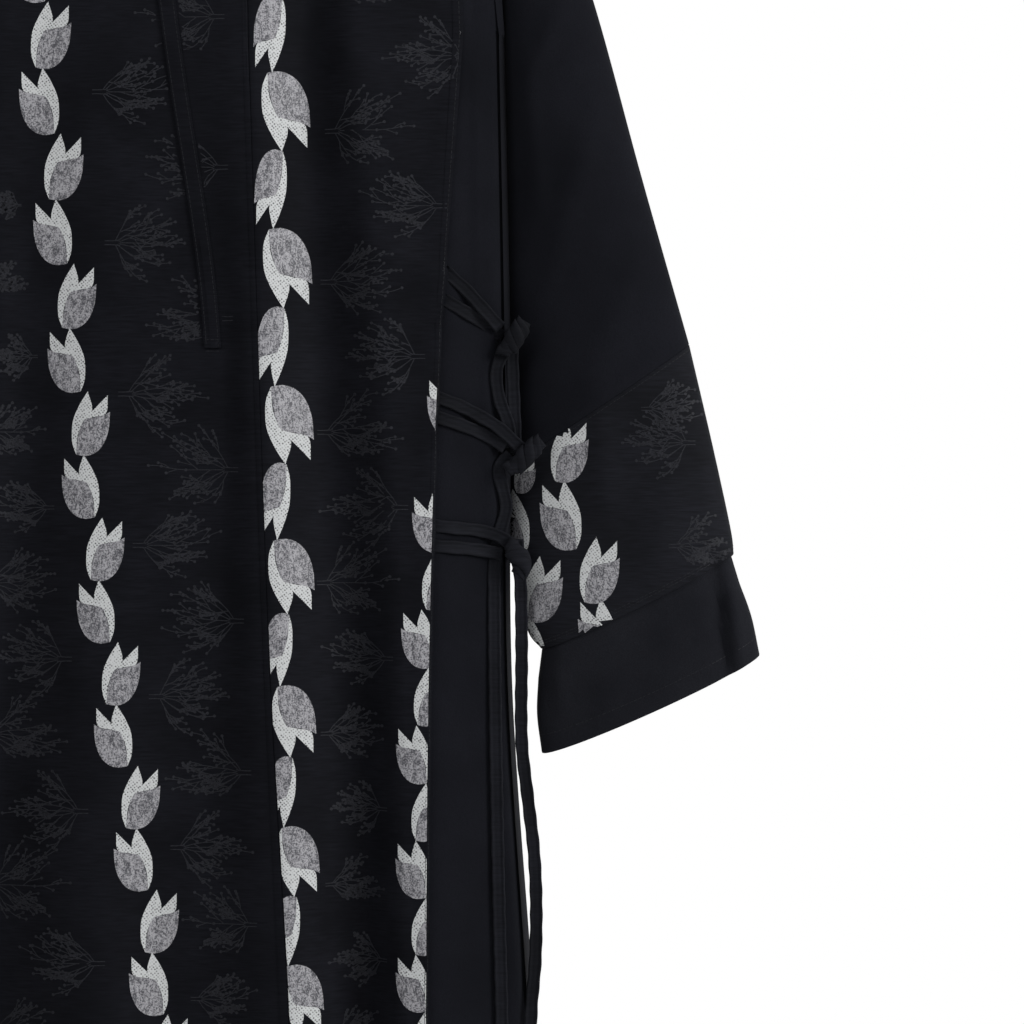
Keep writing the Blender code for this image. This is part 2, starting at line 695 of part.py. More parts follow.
def make_all():
    for old in list(bpy.data.objects):
        bpy.data.objects.remove(old)
    crepe = material("crepe", (0.0085, 0.0090, 0.0125), 0.80)
    figured = material("figured_cloth", (0.0105, 0.0108, 0.0135), 0.75)
    wood = material("beech", (0.47, 0.29, 0.15), 0.45)
    steel = material("steel_wire", (0.55, 0.55, 0.56), 0.30, 1.0)
    front, back, body = make_body(crepe, figured)
    for side in (1.0, -1.0):
        sleeve = make_sleeves(front, back, side, crepe, figured)
        make_ties(back, side, body + sleeve, figured)
    make_arms(wood)
    make_hook(steel)


make_all()
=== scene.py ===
# Looks of a long black crepe dress with a figured overlay, open at the sides and tied there with
# cloth straps, hanging on a plain clothes hanger.
# Metres, +Z up. The front faces -Y. The origin is where the hanger's hook bears on its rail.
# A point of the cloth is given by how far it is across from the centre and by its drop, which is
# how far it is below the point where the shoulder seam meets the neck.

import json
import math
import random
from collections import namedtuple

import bmesh
import bpy
import numpy as np
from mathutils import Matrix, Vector
from mathutils.bvhtree import BVHTree

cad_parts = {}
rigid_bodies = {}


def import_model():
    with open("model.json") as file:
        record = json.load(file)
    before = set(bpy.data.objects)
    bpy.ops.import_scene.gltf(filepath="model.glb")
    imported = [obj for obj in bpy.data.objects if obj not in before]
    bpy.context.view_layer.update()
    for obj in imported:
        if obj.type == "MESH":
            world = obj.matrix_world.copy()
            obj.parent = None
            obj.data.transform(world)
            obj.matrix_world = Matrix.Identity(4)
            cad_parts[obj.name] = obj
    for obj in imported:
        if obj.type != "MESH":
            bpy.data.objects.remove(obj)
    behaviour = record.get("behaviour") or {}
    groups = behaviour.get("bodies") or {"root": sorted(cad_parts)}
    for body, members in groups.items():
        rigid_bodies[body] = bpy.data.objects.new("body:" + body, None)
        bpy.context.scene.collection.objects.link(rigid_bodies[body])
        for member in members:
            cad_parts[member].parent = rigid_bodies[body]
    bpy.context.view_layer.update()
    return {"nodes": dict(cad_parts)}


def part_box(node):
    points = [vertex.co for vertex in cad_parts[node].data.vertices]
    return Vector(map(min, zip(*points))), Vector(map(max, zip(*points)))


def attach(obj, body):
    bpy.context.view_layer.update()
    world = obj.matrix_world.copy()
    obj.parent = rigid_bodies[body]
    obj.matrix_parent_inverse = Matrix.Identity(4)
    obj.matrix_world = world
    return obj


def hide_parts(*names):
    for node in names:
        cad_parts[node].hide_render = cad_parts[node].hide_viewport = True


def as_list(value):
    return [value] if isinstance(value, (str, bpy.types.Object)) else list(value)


for old in list(bpy.data.objects):
    bpy.data.objects.remove(old)
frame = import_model()

MM = 0.001

# Driving sizes
LENGTH = 1.400
OVERLAY_LENGTH = 1.380
NECK_POINT_Z = -0.092
NECK_HALF = 0.075
FRONT_NECK_DROP = 0.095
BACK_NECK_DROP = 0.022
SHOULDER_HALF = 0.205
SHOULDER_DROP = 0.050
ARMHOLE_HALF = 0.212
ARMHOLE_DROP = 0.160
ARMPIT_HALF = 0.2345
ARMPIT_DROP = 0.242
PLACKET_DROP = 0.500

# Walls of cloth, and the gaps between pieces
CREPE = 0.0010
FIGURED = 0.0012
SEAM_GAP = 0.0003
LAYER_GAP = 0.0005
# How far the outer faces of the overlay and of the placket are outside the dress's
OVERLAY_FACE = LAYER_GAP + FIGURED
PLACKET_FACE = OVERLAY_FACE + SEAM_GAP + FIGURED

# Drops at which the tables below say where a line is, and how far the cloth stands off there
LEVELS = (0.300, 0.500, 0.700, 0.910, 1.400)
TOP_DEPTH = 0.012
FRONT_DEPTH = (0.033, 0.037, 0.039, 0.042, 0.052)
BACK_DEPTH = (0.024, 0.027, 0.029, 0.032, 0.042)
SIDE_ROUNDING = 3.0
SHOULDER_ROUNDING = 0.004

# A line that runs down the cloth: a seam, an edge, or the crest or foot of a fold. It has where it
# is across at its top and at each level, and how far it stands out there, in mm.
Line = namedtuple("Line", "name top across out")
SIDE_ACROSS = (239.5, 243.2, 244, 258, 285)
CREASE_ACROSS = (222.5, 226, 231, 240, 262)
EDGE_ACROSS = (213, 199.5, 193.6, 192, 190)


def opposite(places):
    return tuple(-place for place in places)


FRONT_LINES = (
    Line("side_left", -234.5, opposite(SIDE_ACROSS), (0, 0, 0, 0, 0)),
    Line("crease_left", -212, opposite(CREASE_ACROSS), (-2, -2, -1, -1, -1)),
    Line("edge_left", -205, opposite(EDGE_ACROSS), (1.5, 3, 5, 7, 10)),
    Line("valley_left", -128, (-125, -138, -150, -160, -175), (-4, -8, -11, -14, -19)),
    Line("seam_left", -75, (-81.5, -90.5, -98.5, -107.5, -126), (2, 4, 6, 8, 12)),
    Line("neck_left", -74.3, (-77, -85, -92, -100, -117), (1.8, 3.6, 5.2, 7, 10.5)),
    Line("valley_middle", -42, (-45, -55, -68, -78, -90), (-1, -3, -7, -11, -16)),
    Line("crest_middle", -18, (-12, -12, -14, -16, -20), (1, 2, 5, 8, 12)),
    Line("placket_left", 1, (28.6, 54.8, 48.8, 37.8, 39.8), (0, -2, -5, -7, -10)),
    Line("placket_right", 11.5, (39, 65.2, 59.2, 48.2, 50.2), (0, -2, -5, -7, -10)),
    Line("neck_right", 74.3, (77, 85, 92, 100, 117), (2.8, 4.4, 5, 6.6, 10)),
    Line("seam_right", 75, (81.5, 87.8, 95.5, 107.3, 126), (3, 5, 6, 8, 12)),
    Line("valley_right", 122, (119, 132, 147, 153, 166), (-9, -13, -16, -19, -24)),
    Line("crest_right", 150, (148, 166, 177, 180, 181), (3, 5, 5, 6, 9)),
    Line("edge_right", 205, EDGE_ACROSS, (1.5, 3, 5, 7, 10)),
    Line("crease_right", 212, CREASE_ACROSS, (-2, -2, -1, -1, -1)),
    Line("side_right", 234.5, SIDE_ACROSS, (0, 0, 0, 0, 0)),
)
BACK_LINES = (
    Line("side_left", -234.5, opposite(SIDE_ACROSS), (0, 0, 0, 0, 0)),
    Line("crease_left", -212, opposite(CREASE_ACROSS), (-2, -2, -1, -1, -1)),
    Line("edge_left", -205, opposite(EDGE_ACROSS), (1, 2, 4, 5, 8)),
    Line("valley_left", -130, (-130, -134, -138, -142, -150), (-2, -5, -8, -10, -15)),
    Line("crest_left", -75, (-75, -76, -80, -86, -96), (1, 3, 6, 8, 12)),
    Line("neck_left", -74.3, (-70, -71, -75, -80, -89), (0.8, 2.8, 5.6, 7.4, 11)),
    Line("centre", 0, (0, 2, 4, 6, 8), (-1, -3, -6, -9, -14)),
    Line("neck_right", 74.3, (70, 73, 79, 86, 97), (0.8, 2.8, 5.6, 7.4, 11)),
    Line("crest_right", 75, (75, 78, 84, 92, 104), (1, 3, 6, 8, 12)),
    Line("valley_right", 130, (130, 136, 142, 148, 158), (-2, -5, -8, -10, -15)),
    Line("edge_right", 205, EDGE_ACROSS, (1, 2, 4, 5, 8)),
    Line("crease_right", 212, CREASE_ACROSS, (-2, -2, -1, -1, -1)),
    Line("side_right", 234.5, SIDE_ACROSS, (0, 0, 0, 0, 0)),
)

# A cut across the right sleeve, in mm: its fold under the arm and its outer fold as (across, drop),
# its half depth, how far it stands forward, how far its middle hangs below a straight line, and how
# far the fold under the arm lies behind the rest, where it passes the body's side.
Cut = namedtuple("Cut", "inner outer half_depth forward sag behind")
SLEEVE_CUTS = (
    Cut((236.2, 264), (236.8, 117), 15.5, 0, 0, 5),
    Cut((238.2, 302), (266.6, 192), 16, 0, 0, 8),
    Cut((239.8, 362), (295.7, 279), 17, 1, 0, 9),
    Cut((241.2, 460), (324.9, 386), 18, 2, 1, 10),
    Cut((242.2, 566), (354.6, 491), 19, 3, 2, 12),
)
BAND_CUTS = (
    SLEEVE_CUTS[-1],
    Cut((243.6, 626), (369.5, 555), 20, 3.5, 3, 9),
    Cut((253.0, 668), (380.5, 606), 21, 4, 4, 2),
    Cut((262.0, 681), (382.5, 622), 20, 4, 4, 0),
)
UNDER_SLEEVE_CUTS = (
    Cut((260.4, 700), (386.0, 640), 17, 4, 4, 0),
    Cut((259.6, 722), (393.5, 661), 19, 4.5, 5, 0),
    Cut((262.6, 746), (398.6, 685), 18.5, 4.5, 5, 0),
)
SLEEVE_ROUNDING = 0.8

# How closely the cloth is divided
COLUMN_STEP = 0.0050
ROW_STEP = 0.0075
TOP_ROWS = 38
TOP_CROWDING = 1.8
EVEN_ROWS_END = LENGTH - 0.0205
HEM_ROWS = (OVERLAY_LENGTH, 1.386, 1.393, LENGTH)
RING_POINTS = 72
# Points nearer than this are one, and a level is the same within this
MERGE = 0.00002
FINE_MERGE = 0.000005
SAME_LEVEL = 1e-6

# How far a cut edge is rounded as a share of its thickness, from this angle on in degrees
EDGE_ROUND = 0.3
EDGE_ANGLE = 60
# The groove along a seam or an edge, and how far the overlay's free edge stands off the dress
SEAM_GROOVE = 0.0012
SEAM_SINK = 0.00045
EDGE_SINK = 0.0002
EDGE_LIFT = 0.0024
EDGE_LIFT_WIDTH = 0.012
# Below the armhole's corner, the lift grows over this drop
EDGE_LIFT_START = 0.1
# Creases fade out this near to the dress's side and to its upper edge
SIDE_FADE = 0.012
TOP_FADE = 0.040

# A soft crease in the cloth: where it starts and ends as (across, drop), its half width and how far
# it stands out, in mm.
Crease = namedtuple("Crease", "start end width out")
FRONT_CREASES = (
    Crease((206, 455), (150, 430), 7, 2.2),
    Crease((206, 468), (160, 500), 6, -1.8),
    Crease((200, 530), (140, 512), 8, 2.0),
    Crease((200, 540), (150, 570), 6, -1.6),
    Crease((197, 610), (150, 600), 7, 1.8),
    Crease((222, 250), (224, 480), 5, 2.2),
    Crease((232, 300), (231, 520), 3.5, 1.4),
    Crease((228, 500), (236, 640), 5, 1.6),
    Crease((240, 700), (252, 900), 6, 1.8),
    Crease((120, 250), (90, 330), 12, 1.2),
    Crease((60, 150), (95, 260), 14, 1.0),
    Crease((15, 560), (60, 700), 16, 1.5),
    Crease((30, 760), (70, 980), 18, 1.6),
    Crease((150, 700), (168, 980), 12, 1.4),
    Crease((110, 620), (125, 800), 10, 1.0),
)
BACK_CREASES = FRONT_CREASES[:10]
SLEEVE_CREASES = (
    Crease((300, 330), (262, 470), 9, 2.0),
    Crease((330, 420), (275, 560), 10, 1.6),
    Crease((250, 300), (262, 420), 7, 1.8),
    Crease((298, 510), (302, 600), 8, 2.0),
    Crease((345, 560), (330, 650), 9, 1.2),
    Crease((368, 618), (379, 712), 4.5, -6),
    Crease((378, 618), (388, 706), 4, 4),
    Crease((269, 675), (275, 722), 4.5, 2.0),
    Crease((300, 650), (306, 735), 10, 1.2),
    Crease((280, 270), (252, 330), 6, 1.6),
)

STRAP_WIDTH = 0.0082
STRAP_THICK = 0.0012
KNOT_WIDTH = 0.0135
KNOT_THICK = 0.0056
# How far the straps go on under the overlay, in mm
UNDER_OVERLAY = 6

# A tie on the right side, in mm as (across, drop): the ways of its strap, of the strap under that
# one, of its knot, and of each tail that hangs from it.
Tie = namedtuple("Tie", "name strap under_strap knot tails")
TIES = (
    Tie(
        "top",
        ((206.5, 450.5), (216, 459), (226, 470), (237, 482)),
        ((206, 467), (214, 471.5), (225, 478), (238, 487)),
        ((238.5, 500), (241, 494), (246, 487.5), (250, 482), (253, 477)),
        (
            ((244, 491), (244.5, 510), (245.5, 535), (246.5, 560)),
            ((240, 494), (234.5, 508), (236, 525), (241.5, 541), (244, 556)),
        ),
    ),
    Tie(
        "middle",
        ((200, 526), (212, 530.5), (224, 536.5), (236, 544), (250, 557)),
        ((199.5, 538), (212, 542), (226, 547.5), (240, 556)),
        ((240, 572), (246, 567), (253, 561), (259, 555.5), (264, 551.5)),
        (
            (
                (243, 560), (236, 569), (238.5, 582), (240.5, 593), (237, 607), (233.5, 622),
                (233, 650), (233.5, 710), (234.5, 770), (236, 840), (237.5, 900), (238.5, 965),
            ),
        ),
    ),
    Tie(
        "low",
        ((197, 604.5), (210, 606), (224, 607.5), (236, 611), (246, 618)),
        ((197, 617), (210, 618), (224, 619.5), (238, 622)),
        ((240, 615), (244, 618), (248, 623), (249.5, 629), (246, 635.5)),
        (
            (
                (247, 613), (249.3, 640), (250, 680), (250, 738), (254, 775), (257.5, 806),
                (259, 837), (258.5, 874), (256, 905), (255, 955),
            ),
        ),
    ),
)
# The back strap of each tie goes round the dress's side at a drop, and ends behind the knot at a
# place across and forward of the hanger, in mm.
BackStrap = namedtuple("BackStrap", "name drop across forward")
BACK_STRAPS = (
    BackStrap("top", 485, 243, 15.5),
    BackStrap("middle", 556, 245, 16),
    BackStrap("low", 620, 246, 15),
)
SIDE_NAMES = {1: "right", -1: "left"}


def along(places, values, at):
    """A smooth curve through values at rising places, level beyond its ends."""
    if at <= places[0]:
        return values[0]
    if at >= places[-1]:
        return values[-1]
    k = max(i for i in range(len(places) - 1) if places[i] <= at)
    width = places[k + 1] - places[k]
    share = (at - places[k]) / width

    def slope(i):
        low, high = max(i - 1, 0), min(i + 1, len(places) - 1)
        return (values[high] - values[low]) / (places[high] - places[low])

    rise = values[k + 1] - values[k]
    start, end = slope(k) * width, slope(k + 1) * width
    bend = share**2 * (3 * rise - 2 * start - end) + share**3 * (start + end - 2 * rise)
    return values[k] + share * start + bend


# Where the cloth lies


def shoulder_drop(across):
    return SHOULDER_DROP * (abs(across) - NECK_HALF) / (SHOULDER_HALF - NECK_HALF)


def top_drop(across, neck_drop):
    """Drop of the neckline, the shoulder seam or the armhole at this place across."""
    size = abs(across)
    if size < NECK_HALF:
        return neck_drop * math.sqrt(1 - (size / NECK_HALF) ** 2)
    if size <= SHOULDER_HALF:
        return shoulder_drop(across)
    if size <= ARMHOLE_HALF:
        share = (size - SHOULDER_HALF) / (ARMHOLE_HALF - SHOULDER_HALF)
        return SHOULDER_DROP + share * (ARMHOLE_DROP - SHOULDER_DROP)
    share = min((size - ARMHOLE_HALF) / (ARMPIT_HALF - ARMHOLE_HALF), 1.0)
    return ARMHOLE_DROP + share * (ARMPIT_DROP - ARMHOLE_DROP)


DROPS = np.linspace(0, LENGTH, 701)
HALF_WIDTHS = np.array([along(LEVELS, [MM * a for a in SIDE_ACROSS], d) for d in DROPS])


def stand_off(across, drop, depths):
    """How far cloth without folds stands off the hanger, for arrays of places."""
    table = [along((SHOULDER_DROP, *LEVELS), (TOP_DEPTH, *depths), d) for d in DROPS]
    depth = np.interp(drop, DROPS, table)
    slope = SHOULDER_DROP / (SHOULDER_HALF - NECK_HALF)
    below_seam = np.maximum(drop - slope * (np.abs(across) - NECK_HALF), 0)
    share = np.minimum(np.abs(across) / np.interp(drop, DROPS, HALF_WIDTHS), 1)
    over_shoulder = 1 - np.exp(-below_seam / SHOULDER_ROUNDING)
    return depth * over_shoulder * (1 - share**SIDE_ROUNDING) ** (1 / SIDE_ROUNDING)


def creased(across, drop, creases):
    """How far the soft creases, mirrored as well, bring the cloth out, for arrays of places."""
    total = np.zeros_like(across)
    for crease in creases:
        for side in (1, -1):
            start = np.array((side * crease.start[0], crease.start[1])) * MM
            end = np.array((side * crease.end[0], crease.end[1])) * MM
            run = end - start
            length = np.hypot(*run)
            share = ((across - start[0]) * run[0] + (drop - start[1]) * run[1]) / length**2
            away = ((across - start[0]) * run[1] - (drop - start[1]) * run[0]) / length
            fade = np.clip(1 - (2 * share - 1) ** 2, 0, None) ** 0.7 * ((share > 0) & (share < 1))
            total += MM * crease.out * np.exp(-((away / (MM * crease.width)) ** 2)) * fade
    return total


def unit(ways):
    """Directions with a length of 1."""
    return ways / np.maximum(np.linalg.norm(ways, axis=-1, keepdims=True), 1e-12)


def columns_of(lines):
    """A panel's columns, even between its lines: their tops, and where they are across and how far
    they stand out at each level, in metres, with the number of each line's own column."""
    tops, acrosses, outs, index = [], [], [], {}
    for k, line in enumerate(lines):
        before = lines[max(k - 1, 0)]
        pairs = zip((line.top, *line.across), (before.top, *before.across))
        steps = max(1, round(MM * max(abs(a - b) for a, b in pairs) / COLUMN_STEP))
        for share in np.arange(1, steps + 1) / steps:
            eased = share * share * (3 - 2 * share)
            tops.append(MM * (before.top + share * (line.top - before.top)))
            acrosses.append([MM * (a + share * (b - a)) for a, b in zip(before.across, line.across)])
            outs.append([MM * (a + eased * (b - a)) for a, b in zip(before.out, line.out)])
        index[line.name] = len(tops) - 1
    return np.array(tops), acrosses, outs, index


Surface = namedtuple("Surface", "points normals index")


def body_surface(lines, neck_drop, depths, facing, creases):
    """The outer face of the dress front or back: a grid of points, with a direction out at each."""
    tops, acrosses, outs, index = columns_of(lines)
    top_drops = np.array([top_drop(t, neck_drop) for t in tops])
    first_across, first_out = (np.array([c[0] for c in columns]) for columns in (acrosses, outs))
    rows = []
    for share in np.linspace(0, 1, TOP_ROWS, endpoint=False) ** TOP_CROWDING:
        drop = top_drops + share * (LEVELS[0] - top_drops)
        rows.append((tops + share * (first_across - tops), drop, share * first_out))
    for drop in np.append(np.arange(LEVELS[0], EVEN_ROWS_END, ROW_STEP), HEM_ROWS):
        across = np.array([along(LEVELS, places, drop) for places in acrosses])
        out = np.array([along(LEVELS, places, drop) for places in outs])
        rows.append((across, np.full(len(tops), drop), out))
    across, drop, out = (np.array([row[k] for row in rows]) for k in range(3))
    from_side = np.abs(across[:, -1:]) - np.abs(across)
    held = np.clip(from_side / SIDE_FADE, 0, 1) * np.clip((drop - top_drops) / TOP_FADE, 0, 1)
    y = stand_off(across, drop, depths) + out + held * creased(across, drop, creases)
    y = np.maximum(y, SEAM_GAP / 2)
    points = np.stack((across, facing * y, NECK_POINT_Z - drop), axis=-1)
    return Surface(points, normals_of(points, facing), index)


def normals_of(points, facing):
    """Directions out of a panel: up along the shoulders, and sideways along its sides."""
    normals = unit(np.cross(np.gradient(points, axis=0), np.gradient(points, axis=1)) * -facing)
    flat_top = np.abs(points[0, :, 1]) < SEAM_GAP
    normals[0, flat_top] = (0, 0, 1)
    normals[:, 0] = (-1, 0, 0)
    normals[:, -1] = (1, 0, 0)
    return normals


front = body_surface(FRONT_LINES, FRONT_NECK_DROP, FRONT_DEPTH, -1, FRONT_CREASES)
back = body_surface(BACK_LINES, BACK_NECK_DROP, BACK_DEPTH, 1, BACK_CREASES)

# Finishes


def linear(code):
    """An sRGB colour written as six hex digits, as the linear colour that a shader takes."""
    parts = [int(code[k : k + 2], 16) / 255 for k in (0, 2, 4)]
    return [p / 12.92 if p <= 0.04045 else ((p + 0.055) / 1.055) ** 2.4 for p in parts] + [1.0]


def add(tree, kind, inputs=None, **settings):
    """A node with its settings, and its inputs as numbers or as other nodes' outputs."""
    node = tree.nodes.new(kind)
    for key, value in settings.items():
        setattr(node, key, value)
    for key, value in (inputs or {}).items():
        if isinstance(value, bpy.types.NodeSocket):
            tree.links.new(value, node.inputs[key])
        else:
            node.inputs[key].default_value = value
    return node


def begin(name, **numbers):
    """A new material: its tree, its shader and its object coordinates in metres."""
    made = bpy.data.materials.new(name)
    made.use_nodes = True
    tree = made.node_tree
    shader = tree.nodes["Principled BSDF"]
    for key, value in numbers.items():
        shader.inputs[key.replace("_", " ")].default_value = value
    return made, tree, shader, add(tree, "ShaderNodeTexCoord").outputs["Object"]


def tone_between(tree, source, low, high, start, end):
    """A colour between two sRGB ones, as a value rises from start to end."""
    share = add(tree, "ShaderNodeMapRange", {"Value": source, "From Min": start, "From Max": end})
    ends = {0: share.outputs["Result"], 6: linear(low), 7: linear(high)}
    return add(tree, "ShaderNodeMix", ends, data_type="RGBA").outputs[2]


def cover(tree, shader, colour, height=None, strength=0.0, depth=0.0):
    """Gives a shader its colour and, where there is a height, the relief that this makes."""
    tree.links.new(colour, shader.inputs["Base Color"])
    if height is not None:
        relief = {"Strength": strength, "Distance": depth, "Height": height}
        bump = add(tree, "ShaderNodeBump", relief)
        tree.links.new(bump.outputs["Normal"], shader.inputs["Normal"])


def crepe_cloth(name, dark, light):
    """Plain crepe: a matt pebbled surface of tight twisted yarns, with faint clouds of dye."""
    made, tree, shader, place = begin(
        name, Roughness=0.85, Specular_IOR_Level=0.06, Sheen_Weight=0.02, Sheen_Roughness=0.55
    )
    # crepe yarn: pebbles 0.7 mm across, which give the dull sandy look close to
    pebbles = add(tree, "ShaderNodeTexNoise", {"Vector": place, "Scale": 1 / 0.0007, "Detail": 2.0})
    # piece dyeing: clouds 60 mm across, slightly lighter and darker, as black cloth shows in soft light
    clouds = add(tree, "ShaderNodeTexNoise", {"Vector": place, "Scale": 1 / 0.060, "Detail": 3.0})
    factors = {0: clouds.outputs["Fac"], 1: pebbles.outputs["Fac"]}
    both = add(tree, "ShaderNodeMath", factors, operation="MULTIPLY")
    colour = tone_between(tree, both.outputs[0], dark, light, 0.12, 0.42)
    cover(tree, shader, colour, pebbles.outputs["Fac"], 0.45, 0.00012)
    return made


def figured_ground(name, dark, light):
    """The overlay's ground: crosswise ribs with a soft lustre and slubs."""
    made, tree, shader, place = begin(
        name, Roughness=0.72, Specular_IOR_Level=0.08, Sheen_Weight=0.02, Sheen_Roughness=0.45
    )
    # weft ribs: drawn 3.1 mm apart down the cloth, coarser than the real ones, so that they show as
    # faint level lines; a wave of scale 1 repeats each tenth of pi
    waves = {"Vector": place, "Scale": math.pi / 10 / 0.0031416, "Distortion": 0.6, "Detail": 1.0}
    ribs = add(tree, "ShaderNodeTexWave", waves, bands_direction="Z")
    # slubs: thicker stretches of weft 12 mm long and 0.8 mm high
    stretch = {"Vector": place, "Scale": (1 / 0.012, 1 / 0.012, 1 / 0.0008)}
    squeezed = add(tree, "ShaderNodeMapping", stretch).outputs[0]
    slubs = add(tree, "ShaderNodeTexNoise", {"Vector": squeezed, "Scale": 1.0, "Detail": 2.0})
    # piece dyeing: clouds 45 mm across
    clouds = add(tree, "ShaderNodeTexNoise", {"Vector": place, "Scale": 1 / 0.045, "Detail": 3.0})
    factors = {0: clouds.outputs["Fac"], 1: slubs.outputs["Fac"]}
    both = add(tree, "ShaderNodeMath", factors, operation="MULTIPLY")
    heights = {0: ribs.outputs["Fac"], 1: slubs.outputs["Fac"]}
    height = add(tree, "ShaderNodeMath", heights, operation="ADD")
    colour = tone_between(tree, both.outputs[0], dark, light, 0.14, 0.40)
    cover(tree, shader, colour, height.outputs[0], 0.35, 0.00010)
    return made


def basket_petal(name, thread, hole):
    """The light petals: bright floats of thread in a basket weave, with dark pinholes between."""
    made, tree, shader, place = begin(name, Roughness=0.55, Specular_IOR_Level=0.25)
    # basket weave: slanting rows of pinholes, which turn the bright petal into fine mesh; they are
    # drawn 1.6 mm apart, coarser than the real ones, so that the render shows them
    slant = (0, math.radians(38), 0)
    rows = {"Vector": place, "Scale": (1 / 0.0016, 0.0, 1 / 0.0016), "Rotation": slant}
    flat = add(tree, "ShaderNodeMapping", rows).outputs[0]
    weave = {"Vector": flat, "Scale": 1.0, "Randomness": 0.3}
    cells = add(tree, "ShaderNodeTexVoronoi", weave).outputs["Distance"]
    # uneven thread: tufts 2 mm across, which make some pinholes larger
    tufts = add(tree, "ShaderNodeTexNoise", {"Vector": place, "Scale": 1 / 0.0020, "Detail": 1.0})
    terms = {0: tufts.outputs["Fac"], 1: 0.35, 2: cells}
    size = add(tree, "ShaderNodeMath", terms, operation="MULTIPLY_ADD")
    colour = tone_between(tree, size.outputs[0], hole, thread, 0.26, 0.56)
    cover(tree, shader, colour, cells, 0.6, 0.0003)
    return made


def crinkled_petal(name, thread, crease_shade):
    """The grey petals: satin floats that have crinkled, with painted shade in the hollows of the crinkle and
    painted highlights where the floats catch the light.
    """
    made, tree, shader, place = begin(name, Roughness=0.48, Specular_IOR_Level=0.30)
    # crinkle: irregular creases 3 mm apart, long down the petal, whose hollows are painted darker as shade
    stretch = {"Vector": place, "Scale": (1 / 0.003, 1 / 0.003, 1 / 0.006)}
    drawn = add(tree, "ShaderNodeMapping", stretch).outputs[0]
    crinkle = {"Vector": drawn, "Scale": 1.0, "Detail": 3.0, "Roughness": 0.6, "Distortion": 1.2}
    creases = add(tree, "ShaderNodeTexNoise", crinkle)
    # satin floats: mottling 0.9 mm across, painted highlights and shade, light and dark as the floats catch
    # the light
    yarn = add(tree, "ShaderNodeTexNoise", {"Vector": place, "Scale": 1 / 0.0009, "Detail": 1.0})
    factors = {0: creases.outputs["Fac"], 1: yarn.outputs["Fac"]}
    size = add(tree, "ShaderNodeMath", factors, operation="MULTIPLY").outputs[0]
    # colour: painted shade in the crinkle's hollows and painted highlights on the floats, over the grey of
    # the petal
    cover(tree, shader, tone_between(tree, size, crease_shade, thread, 0.16, 0.33), size, 0.6, 0.0003)
    return made


def plain_thread(name, dark, light):
    """Thread of the sprigs and the stitching, a little lighter where it is twisted up."""
    made, tree, shader, place = begin(name, Roughness=0.6, Specular_IOR_Level=0.2)
    # twist: 0.8 mm of lighter and darker yarn along the thread
    twist = add(tree, "ShaderNodeTexNoise", {"Vector": place, "Scale": 1 / 0.0008, "Detail": 1.0})
    cover(tree, shader, tone_between(tree, twist.outputs["Fac"], dark, light, 0.35, 0.65))
    return made


def beech_wood(name):
    """The hanger's arms: beech under a clear lacquer."""
    made, tree, shader, place = begin(name, Roughness=0.38, Coat_Weight=0.4, Coat_Roughness=0.2)
    # beech grain: streaks 1.5 mm apart and 60 mm long, along the arms
    stretch = {"Vector": place, "Scale": (1 / 0.060, 1 / 0.0015, 1 / 0.0015)}
    streaks = add(tree, "ShaderNodeMapping", stretch).outputs[0]
    grain = add(tree, "ShaderNodeTexNoise", {"Vector": streaks, "Scale": 1.0, "Detail": 4.0})
    # medullary flecks: short darker ticks 2 mm long, the mark of beech
    squeeze = {"Vector": place, "Scale": (1 / 0.002, 1 / 0.0004, 1 / 0.0004)}
    ticks = add(tree, "ShaderNodeMapping", squeeze).outputs[0]
    flecks = add(tree, "ShaderNodeTexNoise", {"Vector": ticks, "Scale": 1.0})
    factors = {0: grain.outputs["Fac"], 1: flecks.outputs["Fac"]}
    both = add(tree, "ShaderNodeMath", factors, operation="MULTIPLY").outputs[0]
    cover(tree, shader, tone_between(tree, both, "A8794C", "D9B183", 0.15, 0.40), both, 0.2, 0.0001)
    return made


def steel_wire(name):
    """The hanger's hook: bright drawn steel wire."""
    made, tree, shader, place = begin(name, Metallic=1.0, Roughness=0.28)
    # drawing lines: fine scratches 0.15 mm apart along the wire, which soften its highlights
    fine = {"Vector": place, "Scale": 1 / 0.00015, "Detail": 2.0}
    lines = add(tree, "ShaderNodeTexNoise", fine).outputs["Fac"]
    cover(tree, shader, tone_between(tree, lines, "A9A9AB", "D2D2D4", 0.3, 0.7))
    rough = add(tree, "ShaderNodeMapRange", {"Value": lines, "To Min": 0.2, "To Max": 0.36})
    tree.links.new(rough.outputs["Result"], shader.inputs["Roughness"])
    return made


CREPE_CLOTH = crepe_cloth("crepe cloth", "0F1015", "191A20")
# The sleeve's crepe and the under-sleeve's crepe are the dress's crepe painted lighter, the under-sleeve's
# most. This is painted light, for the light that the sleeve catches.
SLEEVE_CREPE_PAINTED_LIGHTER = crepe_cloth("sleeve crepe", "111217", "1B1C22")
UNDER_SLEEVE_CREPE_PAINTED_LIGHTER = crepe_cloth("thin crepe", "17181D", "25262B")
FIGURED_CLOTH = figured_ground("figured ground", "0C0D12", "17181E")
# The band's and the ties' figured ground is the overlay's ground painted lighter. This is painted light, for
# the light that the band and the straps catch.
FIGURED_GROUND_PAINTED_LIGHTER = figured_ground("band ground", "131418", "1E1F25")
LIGHT_PETAL = basket_petal("light petal", "D2D4D4", "2C2D30")
# the grey petal's second colour is painted shade for the crinkle's hollows
GREY_PETAL = crinkled_petal("grey petal", "AEADB1", "525257")
SPRIG_THREAD = plain_thread("sprig thread", "1A1B20", "292A30")
SEWING_THREAD = plain_thread("sewing thread", "0E0F13", "26272C")
BEECH = beech_wood("lacquered beech")
STEEL = steel_wire("drawn steel")

# Pieces


